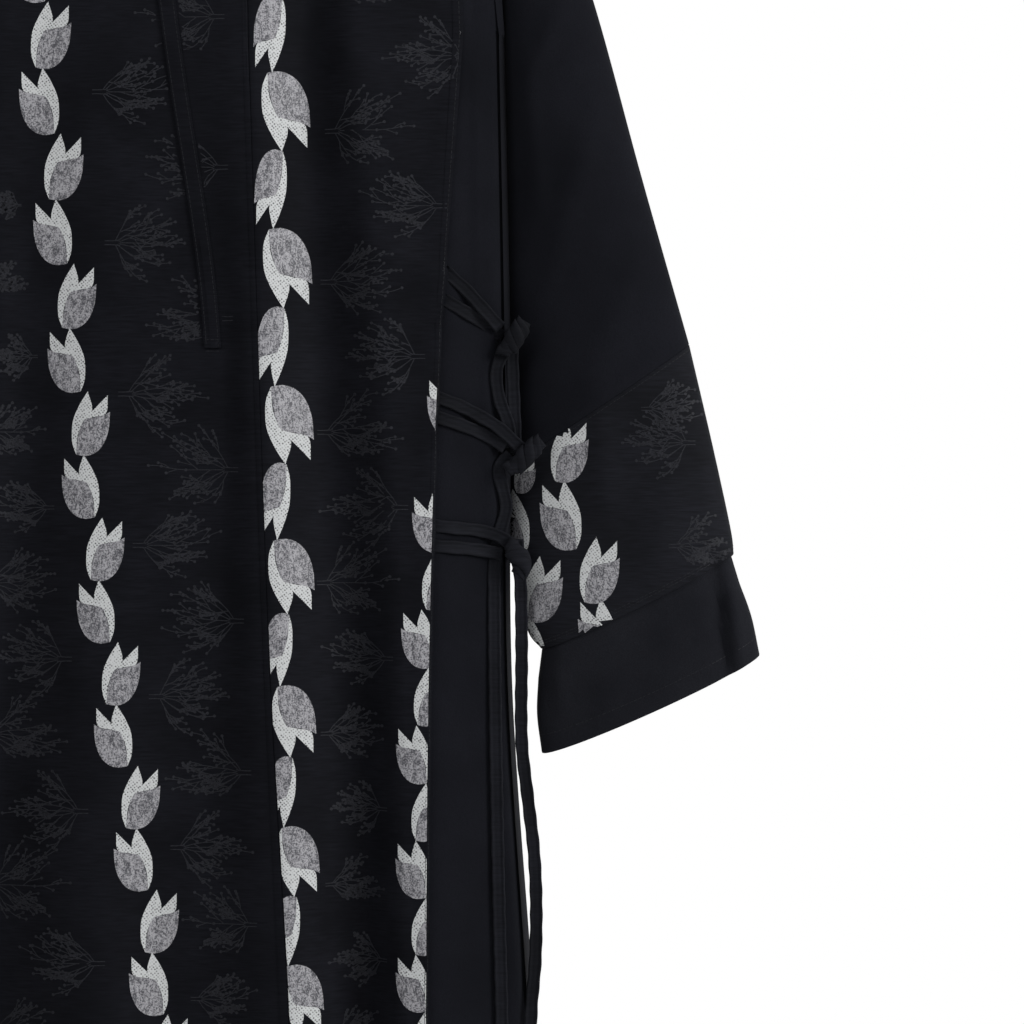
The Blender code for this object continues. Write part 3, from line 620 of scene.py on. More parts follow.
def grid_of(points):
    """A shape through a grid of points, which it numbers row by row."""
    rows, columns = points.shape[:2]
    shape = bmesh.new()
    bmesh.ops.create_grid(shape, x_segments=columns - 1, y_segments=rows - 1, size=0.5)
    shape.verts.ensure_lookup_table()
    for vertex, place in zip(shape.verts, points.reshape(-1, 3)):
        vertex.co = place
    return shape


def mesh_of(name, shape):
    """A mesh of a shape, which is used up."""
    mesh = bpy.data.meshes.new(name)
    shape.to_mesh(mesh)
    shape.free()
    return mesh


def placed(name, data, location=(0, 0, 0), turn=(0, 0, 0)):
    """An object in the scene at its place, turned by degrees."""
    made = bpy.data.objects.new(name, data)
    made.location = location
    made.rotation_euler = [math.radians(angle) for angle in turn]
    bpy.context.scene.collection.objects.link(made)
    return made


def piece(name, shape, finishes, slot_name, smooth=True):
    """An object of a shape, which rides on the dress."""
    mesh = mesh_of(name, shape)
    if smooth:
        mesh.shade_smooth()
    for finish in finishes:
        mesh.materials.append(finish)
    made = placed(name, mesh)
    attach(made, "root")
    return made


def lengths_along(points, axis):
    """How far each point of a grid is along its row or column."""
    steps = np.linalg.norm(np.diff(points, axis=axis), axis=-1)
    start = np.zeros_like(steps.take([0], axis=axis))
    return np.concatenate((start, np.cumsum(steps, axis=axis)), axis=axis)


def cloth(name, points, outward, thick, finish, slot_name, closed=False):
    """A sheet of cloth with its outer face at a grid of points, and its real thickness inside that."""
    across, down = lengths_along(points, 1), lengths_along(points, 0)
    cut = np.stack((across, -down), axis=-1).reshape(-1, 2)
    shape = grid_of(points)
    shape.normal_update()
    ways = outward.reshape(-1, 3)
    facing = sum(face.normal.dot(Vector(ways[face.verts[0].index])) for face in shape.faces)
    layer = shape.loops.layers.uv.new("cloth")
    for face in shape.faces:
        for loop in face.loops:
            loop[layer].uv = cut[loop.vert.index]
    if facing < 0:
        bmesh.ops.reverse_faces(shape, faces=shape.faces)
    if closed:
        bmesh.ops.remove_doubles(shape, verts=shape.verts, dist=MERGE)
    area = sum(face.calc_area() for face in shape.faces)
    made = piece(name, shape, [finish], slot_name)
    wall = made.modifiers.new("wall", "SOLIDIFY")
    wall.thickness = thick
    wall.offset = -1
    edge = made.modifiers.new("rounded edge", "BEVEL")
    edge.width = thick * EDGE_ROUND
    edge.segments = 2
    edge.limit_method = "ANGLE"
    edge.angle_limit = math.radians(EDGE_ANGLE)
    return made, area, (float(across[:, -1].max()), float(down[-1].max()))


def edge_lift(aside, z):
    """How far the overlay stands off the dress this far from its free edge, less near its top."""
    lower = np.clip((NECK_POINT_Z - z - ARMHOLE_DROP) / EDGE_LIFT_START, 0, 1)
    return EDGE_LIFT * lower * np.exp(-((aside / EDGE_LIFT_WIDTH) ** 2))


# A layer of the garment's body: how far its outer face is outside the dress's, the drop of its lower
# edge, its thickness, its finish and its slot.
Layer = namedtuple("Layer", "by drop thick finish slot_name")
DRESS = Layer(0.0, LENGTH, CREPE, CREPE_CLOTH, "crepe")
OVERLAY = Layer(OVERLAY_FACE, OVERLAY_LENGTH, FIGURED, FIGURED_CLOTH, "figured_cloth")
PLACKET = Layer(PLACKET_FACE, PLACKET_DROP, FIGURED, FIGURED_CLOTH, "figured_cloth")
# A panel of a layer, which lies on a surface between two of its lines
Panel = namedtuple("Panel", "name surface first last layer")
PANELS = (
    Panel("dress_front", front, "side_left", "side_right", DRESS),
    Panel("dress_back", back, "side_left", "side_right", DRESS),
    Panel("overlay_side_front_left", front, "edge_left", "seam_left", OVERLAY),
    Panel("overlay_centre_front", front, "seam_left", "seam_right", OVERLAY),
    Panel("overlay_side_front_right", front, "seam_right", "edge_right", OVERLAY),
    Panel("overlay_back", back, "edge_left", "edge_right", OVERLAY),
    Panel("placket", front, "placket_left", "placket_right", PLACKET),
)


def layer_points(panel):
    """A panel's points, off the dress along its directions, with a groove beside both its ends."""
    surface, ends = panel.surface, (panel.first, panel.last)
    span = slice(surface.index[panel.first], surface.index[panel.last] + 1)
    rows = (surface.points[:, 0, 2] >= NECK_POINT_Z - panel.layer.drop - SAME_LEVEL).sum()
    normals = surface.normals[:rows, span]
    points = surface.points[:rows, span] + panel.layer.by * normals
    for name in ends:
        if panel.layer is OVERLAY and name.startswith("edge"):
            edge = surface.points[:rows, surface.index[name], 0]
            lift = edge_lift(points[..., 0] - edge[:, None], points[..., 2])
            points = points + lift[..., None] * normals
    # at the last line the groove's column goes in one place too early, so that the cloth doubles
    # back there over 2 to 6 mm; the real cloth doesn't, and this is a fault that is left
    for end, beside, at in ((0, 1, 1), (-1, -2, points.shape[1] - 1)):
        step = points[:, beside] - points[:, end]
        sewn = ends[end].startswith("seam")
        share = SEAM_GROOVE / np.linalg.norm(step, axis=-1, keepdims=True)
        near = points[:, end] + np.minimum(share, 0.5) * step
        points[:, end] = points[:, end] - (SEAM_SINK if sewn else EDGE_SINK) * normals[:, end]
        if sewn:
            points[:, end] += unit(step) * SEAM_GAP / 2
        points = np.insert(points, at, near, axis=1)
        normals = np.insert(normals, at, normals[:, end], axis=1)
    return points, normals


# The cloth pieces with their cut sizes and what they hang from, and the small pieces sewn on them
CUTS = []
SEWN_ON = {}


def bodies():
    """The crepe front and back, the overlay on each of them, and the placket."""
    sheets = {}
    for panel in PANELS:
        thick, finish, slot_name = panel.layer[2:]
        points, normals = layer_points(panel)
        made, area, size = cloth("cloth_" + panel.name, points, normals, thick, finish, slot_name)
        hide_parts(*[node for node in frame["nodes"] if node.startswith(panel.name)])
        CUTS.append((made, size, area, "hanger_arms"))
        sheets[panel.name] = made
    return sheets


body_cloths = bodies()

# Sleeves


def cut_at(cuts, at):
    """The numbers of a cut between those of a table."""
    numbers = [(*cut.inner, *cut.outer, *cut[2:]) for cut in cuts]
    return [along(range(len(cuts)), column, at) * MM for column in zip(*numbers)]


TURNS = np.linspace(0, 2 * math.pi, RING_POINTS + 1)


def sleeve_ring(cuts, at, side, inset=0.0):
    """Points round the sleeve at a cut, from its outer fold down the front and up the back."""
    inner_x, inner_drop, outer_x, outer_drop, half_depth, forward, sag, behind = cut_at(cuts, at)
    reach = np.array((outer_x - inner_x, inner_drop - outer_drop)) / 2
    length = np.hypot(*reach)
    reach *= (length - inset) / length
    height = np.sin(TURNS)
    across = (inner_x + outer_x) / 2 + reach[0] * np.cos(TURNS)
    drop = (inner_drop + outer_drop) / 2 - reach[1] * np.cos(TURNS) + sag * np.abs(height)
    swell = np.sign(height) * np.abs(height) ** SLEEVE_ROUNDING * (half_depth - inset)
    soft = np.sign(height) * np.abs(height) ** 0.5 * creased(across, drop, SLEEVE_CREASES)
    forward = forward - behind * ((1 - np.cos(TURNS)) / 2) ** 2
    return np.stack((side * across, -(forward + swell + soft), NECK_POINT_Z - drop), axis=-1)


def columns_to_side(surface, side):
    """The columns of a surface from an edge of the overlay out to the dress's side."""
    first, last = (surface.index[line + SIDE_NAMES[side]] for line in ("edge_", "side_"))
    step = 1 if last > first else -1
    return list(range(first, last + step, step))


def spots_along(way, lengths, at):
    """Points of a way at some of its lengths."""
    return np.stack([np.interp(at, lengths, way[:, k]) for k in range(3)], axis=-1)


def armhole_ring(side):
    """The body's armhole, from the shoulder down the front and up the back, clear by the seam's gap."""
    halves = []
    for surface in (front, back):
        way = surface.points[0, columns_to_side(surface, side)]
        lengths = lengths_along(way, 0)
        at = (1 - np.cos(TURNS[: RING_POINTS // 2 + 1])) / 2 * lengths[-1]
        halves.append(spots_along(way, lengths, at))
    ring = np.concatenate((halves[0], halves[1][-2::-1]))
    return ring + (side * 2 * SEAM_GAP, 0, 0)


# Rings of each part of a sleeve: how many, and between which places in its table of cuts
SHOULDER_RINGS = 7
SLEEVE_RINGS = (0, 4, 62)
TURNING_RINGS = (0.02, 0.10)
BAND_RINGS = (0.008, 3, 27)
HIDDEN_RINGS = (0.16, 2.9, 20)
UNDER_SLEEVE_RINGS = (0, 2, 13)
TURNING_INSET = 0.0016


def sleeves(side):
    """A sleeve, the figured band at its end, and the plain under-sleeve that shows below the band."""
    armhole, first = armhole_ring(side), sleeve_ring(SLEEVE_CUTS, 0, side)
    shares = np.linspace(0, 1, SHOULDER_RINGS)[:-1]
    rings = [armhole + share * (first - armhole) for share in shares]
    rings += [sleeve_ring(SLEEVE_CUTS, at, side) for at in np.linspace(*SLEEVE_RINGS)]
    # the seam's turning, which goes up inside the band
    rings += [sleeve_ring(BAND_CUTS, at, side, TURNING_INSET) for at in TURNING_RINGS]
    band = [sleeve_ring(BAND_CUTS, at, side) for at in np.linspace(*BAND_RINGS)]
    hidden = FIGURED + 2 * LAYER_GAP
    under = [sleeve_ring(BAND_CUTS, at, side, hidden) for at in np.linspace(*HIDDEN_RINGS)]
    under += [sleeve_ring(UNDER_SLEEVE_CUTS, at, side) for at in np.linspace(*UNDER_SLEEVE_RINGS)]
    made = {}
    for stem, rows, thick, finish, slot_name in (
        # the sleeve and the under-sleeve take the crepe painted lighter, as painted light
        ("sleeve_", rings, CREPE, SLEEVE_CREPE_PAINTED_LIGHTER, "crepe"),
        ("sleeve_band_", band, FIGURED, FIGURED_GROUND_PAINTED_LIGHTER, "figured_cloth"),
        ("under_sleeve_", under, CREPE, UNDER_SLEEVE_CREPE_PAINTED_LIGHTER, "crepe"),
    ):
        node, points = stem + SIDE_NAMES[side], np.array(rows)
        outward = points - points.mean(axis=1, keepdims=True)
        tube, area, size = cloth("cloth_" + node, points, outward, thick, finish, slot_name, True)
        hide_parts(node)
        CUTS.append((tube, size, area, "cloth_dress_front"))
        made[stem] = tube
    return made


sleeve_cloths = {side: sleeves(side) for side in (1, -1)}

# Ties

# How many points on each side a depth is smoothed over
NEIGHBOURS = 3


def smooth_line(points, count):
    """Evenly spaced points of a smooth curve through a few."""
    points = np.array(points, dtype=float)
    lengths = lengths_along(points, 0)
    spots = []
    for share in np.linspace(0, 1, count):
        spots.append([along(lengths, points[:, k], share * lengths[-1]) for k in (0, 1)])
    return np.array(spots)


def way_through(stations, side, spacing):
    """Evenly spaced points of the front view on a smooth curve through stations, with its direction."""
    points = np.array([(side * MM * a, NECK_POINT_Z - MM * drop) for a, drop in stations])
    steps = max(3, round(lengths_along(points, 0)[-1] / spacing))
    way = smooth_line(points, steps + 1)
    return way, unit(np.gradient(way, axis=0))


def tree_of(*objects):
    """All these objects' own faces, for finding how far they reach."""
    points, faces = [], []
    for item in objects:
        start = len(points)
        points += [vertex.co.copy() for vertex in item.data.vertices]
        faces += [[start + v for v in polygon.vertices] for polygon in item.data.polygons]
    return BVHTree.FromPolygons(points, faces)


def depths_on(node, way):
    """How far forward a CAD node reaches along a way, smoothed over its neighbours."""
    tree = tree_of(frame["nodes"][node])
    found = []
    for x, z in way:
        hit = tree.ray_cast(Vector((x, -1, z)), Vector((0, 1, 0)))[0]
        found.append(-hit.y if hit else np.nan)
    found = np.array(found)
    known = np.flatnonzero(~np.isnan(found))
    found = np.interp(np.arange(len(found)), known, found[known])
    padded = np.pad(found, NEIGHBOURS, mode="edge")
    count = 2 * NEIGHBOURS + 1
    return np.convolve(padded, np.ones(count) / count, mode="valid")


# Across a strap, from edge to edge: its height as a share of its thickness, raised at its turned
# edges. Then how far apart its rings are, and how its width wavers along it.
STRAP_STEP = 0.0022
STRAP_WAVER = 0.04
STRAP_SECTION = (
    (-1, 0.3), (-0.97, 0.8), (-0.85, 1.0), (-0.66, 0.97), (-0.58, 0.72), (-0.25, 0.80), (0, 0.84),
    (0.25, 0.80), (0.58, 0.72), (0.66, 0.97), (0.85, 1.0), (0.97, 0.8), (1, 0.3), (0.8, 0), (-0.8, 0),
)


def tube_shape(rings):
    """A closed shape through rings of points, with filled ends."""
    rings = np.array(rings)
    shape = grid_of(np.concatenate((rings, rings[:, :1]), axis=1))
    bmesh.ops.remove_doubles(shape, verts=shape.verts, dist=FINE_MERGE)
    rim = [edge for edge in shape.edges if edge.is_boundary]
    bmesh.ops.holes_fill(shape, edges=rim, sides=0)
    bmesh.ops.recalc_face_normals(shape, faces=shape.faces)
    return shape


def joined(shapes):
    """Several shapes as one."""
    whole = bmesh.new()
    for shape in shapes:
        mesh = mesh_of("part", shape)
        whole.from_mesh(mesh)
        bpy.data.meshes.remove(mesh)
    return whole


def tie_piece(node, shape, panel):
    """A piece of a tie in place of its CAD node, sewn on a panel of the overlay."""
    # the ties take the figured ground painted lighter, as painted light
    made = piece("cloth_" + node, shape, [FIGURED_GROUND_PAINTED_LIGHTER], "figured_cloth")
    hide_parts(node)
    SEWN_ON.setdefault(panel, []).append(made)


def side_front(node):
    return "cloth_overlay_side_front_" + node.rsplit("_", 1)[1]


def ribbon(node, stations, side):
    """A strap or tail of folded cloth, where its CAD node lies. A strap starts under the overlay."""
    if "strap" in node:
        first, second = np.array(stations[:2])
        hidden = first + UNDER_OVERLAY * (first - second) / math.dist(first, second)
        stations = (tuple(hidden), *stations)
    way, ahead = way_through(stations, side, STRAP_STEP)
    depths = depths_on(node, way) - STRAP_THICK
    rings = []
    for k, ((x, z), (dx, dz), depth) in enumerate(zip(way, ahead, depths)):
        half = STRAP_WIDTH / 2 * (1 - STRAP_WAVER + STRAP_WAVER * math.sin(k * 0.9))
        rings.append(
            [(x - dz * half * u, -(depth + STRAP_THICK * h), z + dx * half * u) for u, h in STRAP_SECTION]
        )
    tie_piece(node, tube_shape(rings), side_front(node))


# How closely a knot is divided, and how thick a turn of strap in it is
KNOT_STEP = 0.0006
CORE_RINGS = 22
CORE_POINTS = 18
WRAP_RINGS = 19
WRAP_POINTS = 14
WRAP_HALF_THICK = 0.0007
WRAP_RIPPLE = 0.00018
BACK_STRAP_TURNS = 12
# A turn of strap in a knot: where it crosses as a share of the knot's length, how far it slants,
# how wide it is as a share of the strap, and how high it stands as a share of the knot.
Wrap = namedtuple("Wrap", "at slant width high")
WRAPS = (
    Wrap(0.18, -0.10, 0.80, 0.66),
    Wrap(0.80, 0.12, 0.85, 0.72),
    Wrap(0.42, 0.16, 0.95, 0.88),
    Wrap(0.62, 0.20, 0.90, 1.00),
)


def knot(node, stations, side):
    """A knot: a core with turns of strap wrapped over it."""
    way, ahead = way_through(stations, side, KNOT_STEP)
    last = len(way) - 1
    foot = -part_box(node)[1].y
    length = float(lengths_along(way, 0)[-1])

    def spot(share, off, rise):
        """A point this far along the knot, aside from its middle, and in front of its back."""
        k = min(max(share, 0), 1) * last
        low = min(int(k), last - 1)
        x, z = way[low] + (k - low) * (way[low + 1] - way[low])
        dx, dz = ahead[low]
        return (x - dz * off, -(foot + rise), z + dx * off)

    core = []
    for share in np.linspace(0.04, 0.96, CORE_RINGS):
        swell = 0.55 + 0.35 * math.sin(math.pi * share)
        wide, high = KNOT_WIDTH / 2 * 0.86 * swell, KNOT_THICK * 0.42 * swell
        turns = np.linspace(0, 2 * math.pi, CORE_POINTS + 1)[:-1]
        core.append([spot(share, wide * math.cos(t), high * (1 + math.sin(t))) for t in turns])
    shapes = [tube_shape(core)]
    for wrap in WRAPS:
        rings = []
        half = STRAP_WIDTH * wrap.width / 2 / length
        swell = 0.62 + 0.38 * math.sin(math.pi * wrap.at)
        for u in np.linspace(-1, 1, WRAP_RINGS):
            over = math.cos(u * math.pi / 2)
            off = KNOT_WIDTH / 2 * swell * math.sin(u * math.pi / 2)
            rise = KNOT_THICK * (0.16 + (wrap.high - 0.36) * max(over, 0) ** 0.6)
            middle = wrap.at + wrap.slant * u
            pinched = half * (0.72 + 0.28 * over)
            ring = []
            for t in np.linspace(0, 2 * math.pi, WRAP_POINTS + 1)[:-1]:
                ripple = WRAP_RIPPLE * math.cos(3 * t + 4 * wrap.at)
                height = rise + WRAP_HALF_THICK * math.sin(t) + ripple
                ring.append(spot(middle + pinched * math.cos(t), off, height))
            rings.append(ring)
        shapes.append(tube_shape(rings))
    tie_piece(node, joined(shapes), side_front(node))


def back_strap(strap, side):
    """A strap from the back overlay's edge round the dress's side to a place behind the knot."""
    drops = NECK_POINT_Z - back.points[:, 0, 2]
    drop = MM * strap.drop
    level = np.ptp(back.points[..., 2], axis=1) < SAME_LEVEL
    row = np.flatnonzero((drops <= drop) & level)[-1]
    share = (drop - drops[row]) / (drops[row + 1] - drops[row])
    columns = columns_to_side(back, side)
    centres, outs = (
        grid[row, columns] + share * (grid[row + 1, columns] - grid[row, columns])
        for grid in (back.points, back.normals)
    )
    centres = centres + 2 * LAYER_GAP * outs
    centres[-1, 1] = 0
    corner, reach = centres[-1], side * MM * strap.across - centres[-1, 0]
    turns = np.linspace(0, math.pi / 2, BACK_STRAP_TURNS + 1)[1:]
    x, y = corner[0] + reach * (1 - np.cos(turns)), -MM * strap.forward * np.sin(turns)
    bend = np.stack((x, y, np.full(BACK_STRAP_TURNS, corner[2])), axis=-1)
    bend_outs = np.stack((side * np.cos(turns), np.sin(turns), 0 * turns), axis=-1)
    rings = []
    for centre, out in zip(np.concatenate((centres, bend)), unit(np.concatenate((outs, bend_outs)))):
        rings.append(
            [centre + out * STRAP_THICK * h + (0, 0, STRAP_WIDTH / 2 * u) for u, h in STRAP_SECTION]
        )
    tie_piece(f"tie_{strap.name}_back_strap_{SIDE_NAMES[side]}", tube_shape(rings), "cloth_overlay_back")


def ties(side):
    """Three ties: their straps, tails and knots, and their back straps."""
    for tie in TIES:
        ways = [("strap", tie.strap), ("under_strap", tie.under_strap)]
        several = len(tie.tails) > 1
        ways += [(f"tail_{k}" if several else "tail", tail) for k, tail in enumerate(tie.tails, 1)]
        for part, stations in ways:
            ribbon(f"tie_{tie.name}_{part}_{SIDE_NAMES[side]}", stations, side)
        knot(f"tie_{tie.name}_knot_{SIDE_NAMES[side]}", tie.knot, side)
    for strap in BACK_STRAPS:
        back_strap(strap, side)


for side in (1, -1):
    ties(side)

for node, finish in (("hanger_arms", BEECH), ("hanger_hook", STEEL)):
    materials = frame["nodes"][node].data.materials
    materials.clear()
    materials.append(finish)

# Woven figures: chains of tulips down the cloth, and sprigs between them

# A petal of a tulip that points down and leans right: smooth lines down its two sides, in mm from
# the tulip's base, with its finish and how far it is raised.
Petal = namedtuple("Petal", "left right finish raised")
TULIP = (
    Petal(
        ((0, 0), (-3.0, -8), (-3.6, -16), (-2.6, -27), (2.5, -39), (9, -49.5)),
        ((0, 0), (0.4, -7), (1.2, -15), (5.5, -26), (12.5, -34.5), (9, -49.5)),
        0, 0.16,
    ),
    Petal(
        ((6.2, -27.6), (10, -31.5), (14.5, -36), (24.6, -46.5)),
        ((6.2, -27.6), (14, -29.4), (23.2, -32), (24.6, -46.5)),
        0, 0.16,
    ),
    Petal(
        ((0, 0), (1.3, -13), (6.2, -27.2), (14, -29), (22.4, -31.2), (26.5, -33.5)),
        ((0, 0), (7.4, 1.2), (15, -1.2), (21, -7.5), (25.2, -18.6), (26.5, -33.5)),
        1, 0.20,
    ),
)
PETALS = [LIGHT_PETAL, GREY_PETAL]
TULIP_LONG = 49.5
TULIP_LEAN = 4.5

# A chain of tulips: which face of the dress it is on, the way that its tulips point, the drop where
# one of them starts, its pitch at each level, how wide its tulips that lean inward are beside the
# others, the lines between which its cloth lies, and where it is across at each level, in mm.
Chain = namedtuple("Chain", "face points start pitch inner first last across")
LONG_PITCH = (48.4, 48.0, 43.5, 41.5, 38)
SHORT_PITCH = (41, 39, 38, 38.6, 38)
EDGE_PITCH = (38, 36, 35.5, 34.5, 34)
CHAINS = (
    Chain("front", 1, 325.5, LONG_PITCH, 0.66, "seam_right", "edge_right", (97.5, 100, 104, 111, 130)),
    Chain("front", 1, 325.5, LONG_PITCH, 0.66, "edge_left", "seam_left", (-97.5, -100, -104, -111, -130)),
    Chain("front", -1, 322, SHORT_PITCH, 1, "seam_left", "seam_right", (-48, -27, -3, 26.5, 48)),
    Chain("front", -1, 328, EDGE_PITCH, 1, "seam_right", "edge_right", (254, 215, 191, 188, 184)),
    Chain("front", -1, 336, EDGE_PITCH, 1, "edge_left", "seam_left", (-254, -215, -191, -188, -184)),
    Chain("back", 1, 325.5, LONG_PITCH, 1, "edge_left", "edge_right", (-150, -150, -152, -156, -166)),
    Chain("back", -1, 322, LONG_PITCH, 1, "edge_left", "edge_right", (-50, -50, -51, -53, -58)),
    Chain("back", 1, 325.5, LONG_PITCH, 1, "edge_left", "edge_right", (50, 50, 51, 53, 58)),
    Chain("back", -1, 322, LONG_PITCH, 1, "edge_left", "edge_right", (150, 150, 152, 156, 166)),
)
# How a petal is divided: its rows, and how far apart its columns are, in mm
PETAL_ROWS = 15
FIGURE_STEP = 2.1
# A face of a figure smaller than this, in square metres, is left from a cut
SLIVER = 1e-9
# The last drops at which a tulip and a sprig may start
LAST_TULIP = 1.402
LAST_SPRIG = 1.365


# A figure laid flat: its mesh, and for each point its spot as a share of the figure's length, its
# offset from there in metres, and how far it is raised.
Figure = namedtuple("Figure", "mesh spots offsets raised")
# Where a figure goes: its root as (across, drop), and its length across and up, below 0 if turned over
Place = namedtuple("Place", "root across up")


def figure_of(name, patches, dots=()):
    """A figure of several grids of points, and of dots where they are given."""
    shape = bmesh.new()
    spots, offsets, raised = [], [], []
    for grid, off, height, finish in patches:
        rows, columns = grid.shape[:2]
        known = set(shape.faces)
        bmesh.ops.create_grid(shape, x_segments=columns - 1, y_segments=rows - 1, size=0.5)
        for face in set(shape.faces) - known:
            face.material_index = finish
        spots += [*grid.reshape(-1, 2)]
        offsets += [*off.reshape(-1, 2)]
        raised += [height] * (rows * columns)
    for dot in dots:
        ring = bmesh.ops.create_circle(shape, cap_ends=True, segments=BERRY_SIDES, radius=BERRY)["verts"]
        spots += [dot] * len(ring)
        offsets += [vertex.co.xy[:] for vertex in ring]
        raised += [BERRY_RAISED] * len(ring)
    return Figure(mesh_of(name, shape), np.array(spots), np.array(offsets), np.array(raised))


def woven(name, jobs, tree, facing, finishes, span=None, keep=None):
    """A piece of many figures, each laid on the cloth that it is woven in and cut off at its edge."""
    shapes = []
    for figure, place in jobs:
        shape = bmesh.new()
        shape.from_mesh(figure.mesh)
        missed = []
        flat = figure.spots * (place.across, place.up)
        flat += figure.offsets * np.sign((place.across, place.up))
        for vertex, (x, z), raised in zip(shape.verts, flat, figure.raised):
            x, z = x + place.root[0], z + NECK_POINT_Z - place.root[1]
            if span:
                x = min(max(x, span[0](NECK_POINT_Z - z)), span[1](NECK_POINT_Z - z))
            hit, normal, _, _ = tree.ray_cast(Vector((x, facing, z)), Vector((0, -facing, 0)))
            if hit is None or (keep and not keep(x, NECK_POINT_Z - z)):
                missed.append(vertex)
            else:
                vertex.co = hit + normal * (raised if normal.y * facing > 0 else -raised)
        bmesh.ops.delete(shape, geom=missed, context="VERTS")
        bmesh.ops.remove_doubles(shape, verts=shape.verts, dist=MERGE)
        cut_off = [face for face in shape.faces if face.calc_area() < SLIVER]
        bmesh.ops.delete(shape, geom=cut_off, context="FACES")
        for face in shape.faces:
            face.normal_update()
            if face.normal.y * facing < 0:
                face.normal_flip()
        shapes.append(shape)
    return piece(name, joined(shapes), finishes, "figured_cloth")


def petal_patches():
    """Each petal of a tulip as a grid between its two sides."""
    for petal in TULIP:
        left, right = (smooth_line(way, PETAL_ROWS) for way in (petal.left, petal.right))
        width = np.linalg.norm(right - left, axis=-1).max()
        shares = np.linspace(0, 1, max(4, round(width / FIGURE_STEP)) + 1)
        grid = left[:, None] + shares[None, :, None] * (right - left)[:, None]
        yield grid / TULIP_LONG, np.zeros_like(grid), petal.raised * MM, petal.finish


def chain_places(chain):
    """Where each of a chain's tulips goes."""
    drop = chain.start * MM
    lean, places = math.copysign(1, chain.across[0]), []
    while drop > 0:
        drop -= MM * along(LEVELS, chain.pitch, drop)
        lean = -lean
    while drop < LAST_TULIP:
        pitch = MM * along(LEVELS, chain.pitch, drop)
        base_drop = drop if chain.points > 0 else drop + pitch
        across = MM * along(LEVELS, chain.across, base_drop) - lean * TULIP_LEAN * pitch / TULIP_LONG
        wide = chain.inner if lean * chain.across[0] < 0 else 1
        places.append(Place((across, base_drop), lean * pitch * wide, chain.points * pitch))
        drop += pitch
        lean = -lean
    return places


# A sprig, whose root is two lines side by side, which part into branches that end in berries
BRANCH_SPREAD = 1.15
SPRIG_LINE = 0.00030
BERRY = 0.00105
BERRY_SIDES = 6
SPRIG_RAISED = 0.00014
BERRY_RAISED = 0.00018


def sprig_lines(seed):
    """The lines and berries of a sprig that is one unit long and grows to the right."""
    draw = random.Random(seed)
    lines, berries = [], []

    def grow(start, angle, length, left):
        """A branch, and where it forks its own branches, while any are left."""
        bend = draw.uniform(-0.35, 0.35) - 0.35 * angle
        points = [start]
        for step in range(1, 4):
            heading = angle + bend * step / 3
            x, y = points[-1]
            points.append((x + length / 3 * math.cos(heading), y + length / 3 * math.sin(heading)))
        lines.append(points)
        berries.append(points[-1])
        if left == 0:
            return
        for turn in (-0.50, 0.08, 0.52):
            fork = points[1 if turn < 0 else 2 if turn > 0.3 else 3]
            heading = angle + bend + turn + draw.uniform(-0.15, 0.15)
            grow(fork, heading, length * draw.uniform(0.48, 0.68), left - 1)

    for side in (-1, 1):
        lines.append([(0, 0.022 * side), (0.06, 0.021 * side), (0.12, 0.024 * side), (0.17, 0.03 * side)])
    for branch in np.linspace(-1, 1, 7):
        start = (0.12 + 0.05 * (1 - abs(branch)), 0.028 * branch)
        grow(start, branch * BRANCH_SPREAD, 0.29 + 0.12 * (1 - abs(branch)), 2)
    return lines, berries


def sprig_patches(lines):
    """Each line of a sprig as a narrow strip."""
    for line in lines:
        spots = np.array(line)
        ahead = unit(np.gradient(spots, axis=0))
        aside = SPRIG_LINE * np.stack((-ahead[:, 1], ahead[:, 0]), axis=-1)
        grid = np.repeat(spots[:, None], 2, axis=1)
        yield grid, np.stack((-aside, aside), axis=1), SPRIG_RAISED, 0


TULIP_FIGURE = figure_of("tulip", petal_patches())
SPRIG_FIGURES = []
for seed in range(6):
    sprig, ends = sprig_lines(seed)
    SPRIG_FIGURES.append(figure_of("sprig", sprig_patches(sprig), ends))

# Sprigs between two chains: the drop of the first, how far apart they are, the room that each chain
# takes, and how long they may be
FIRST_SPRIG = 0.012
SPRIG_PITCH = 0.0465
CHAIN_ROOM = 0.021
SPRIG_LONGEST = 0.056
SPRIG_SHORTEST = 0.018


def sprigs_between(face):
    """Sprigs in each space between a face's chains, rooted at its left and its right by turns."""
    jobs = []
    chains = sorted((c for c in CHAINS if c.face == face), key=lambda c: c.across[0])
    for gap in range(len(chains) - 1):
        for row in range(int(LAST_SPRIG / SPRIG_PITCH) + 1):
            drop = FIRST_SPRIG + row * SPRIG_PITCH + 0.5 * SPRIG_PITCH * (gap % 2)
            left, right = (MM * along(LEVELS, c.across, drop) for c in chains[gap : gap + 2])
            left, right = left + CHAIN_ROOM, right - CHAIN_ROOM
            length = min(SPRIG_LONGEST, right - left)
            if length > SPRIG_SHORTEST:
                heading = 1 if row % 2 else -1
                spare = 0.2 * (right - left - length)
                root = left + spare if heading > 0 else right - spare
                figure = SPRIG_FIGURES[(gap * 5 + row) % len(SPRIG_FIGURES)]
                jobs.append((figure, Place((root, drop), heading * length, length)))
    return jobs


# Figures stop this far inside the edge of their cloth, and this far from the placket
FIGURE_INSIDE = 0.0008
PLACKET_ROOM = 0.0006
BELOW_PLACKET = 0.001


def line_across(surface, name, inward=0):
    """A function that gives where a line of a surface is across at a drop, moved inward a little."""
    way = surface.points[:, surface.index[name]]
    return lambda drop: np.interp(drop, NECK_POINT_Z - way[:, 2], way[:, 0]) + inward


def between(surface, first, last):
    """The span of the cloth between two lines, which its figures stay inside."""
    return line_across(surface, first, FIGURE_INSIDE), line_across(surface, last, -FIGURE_INSIDE)


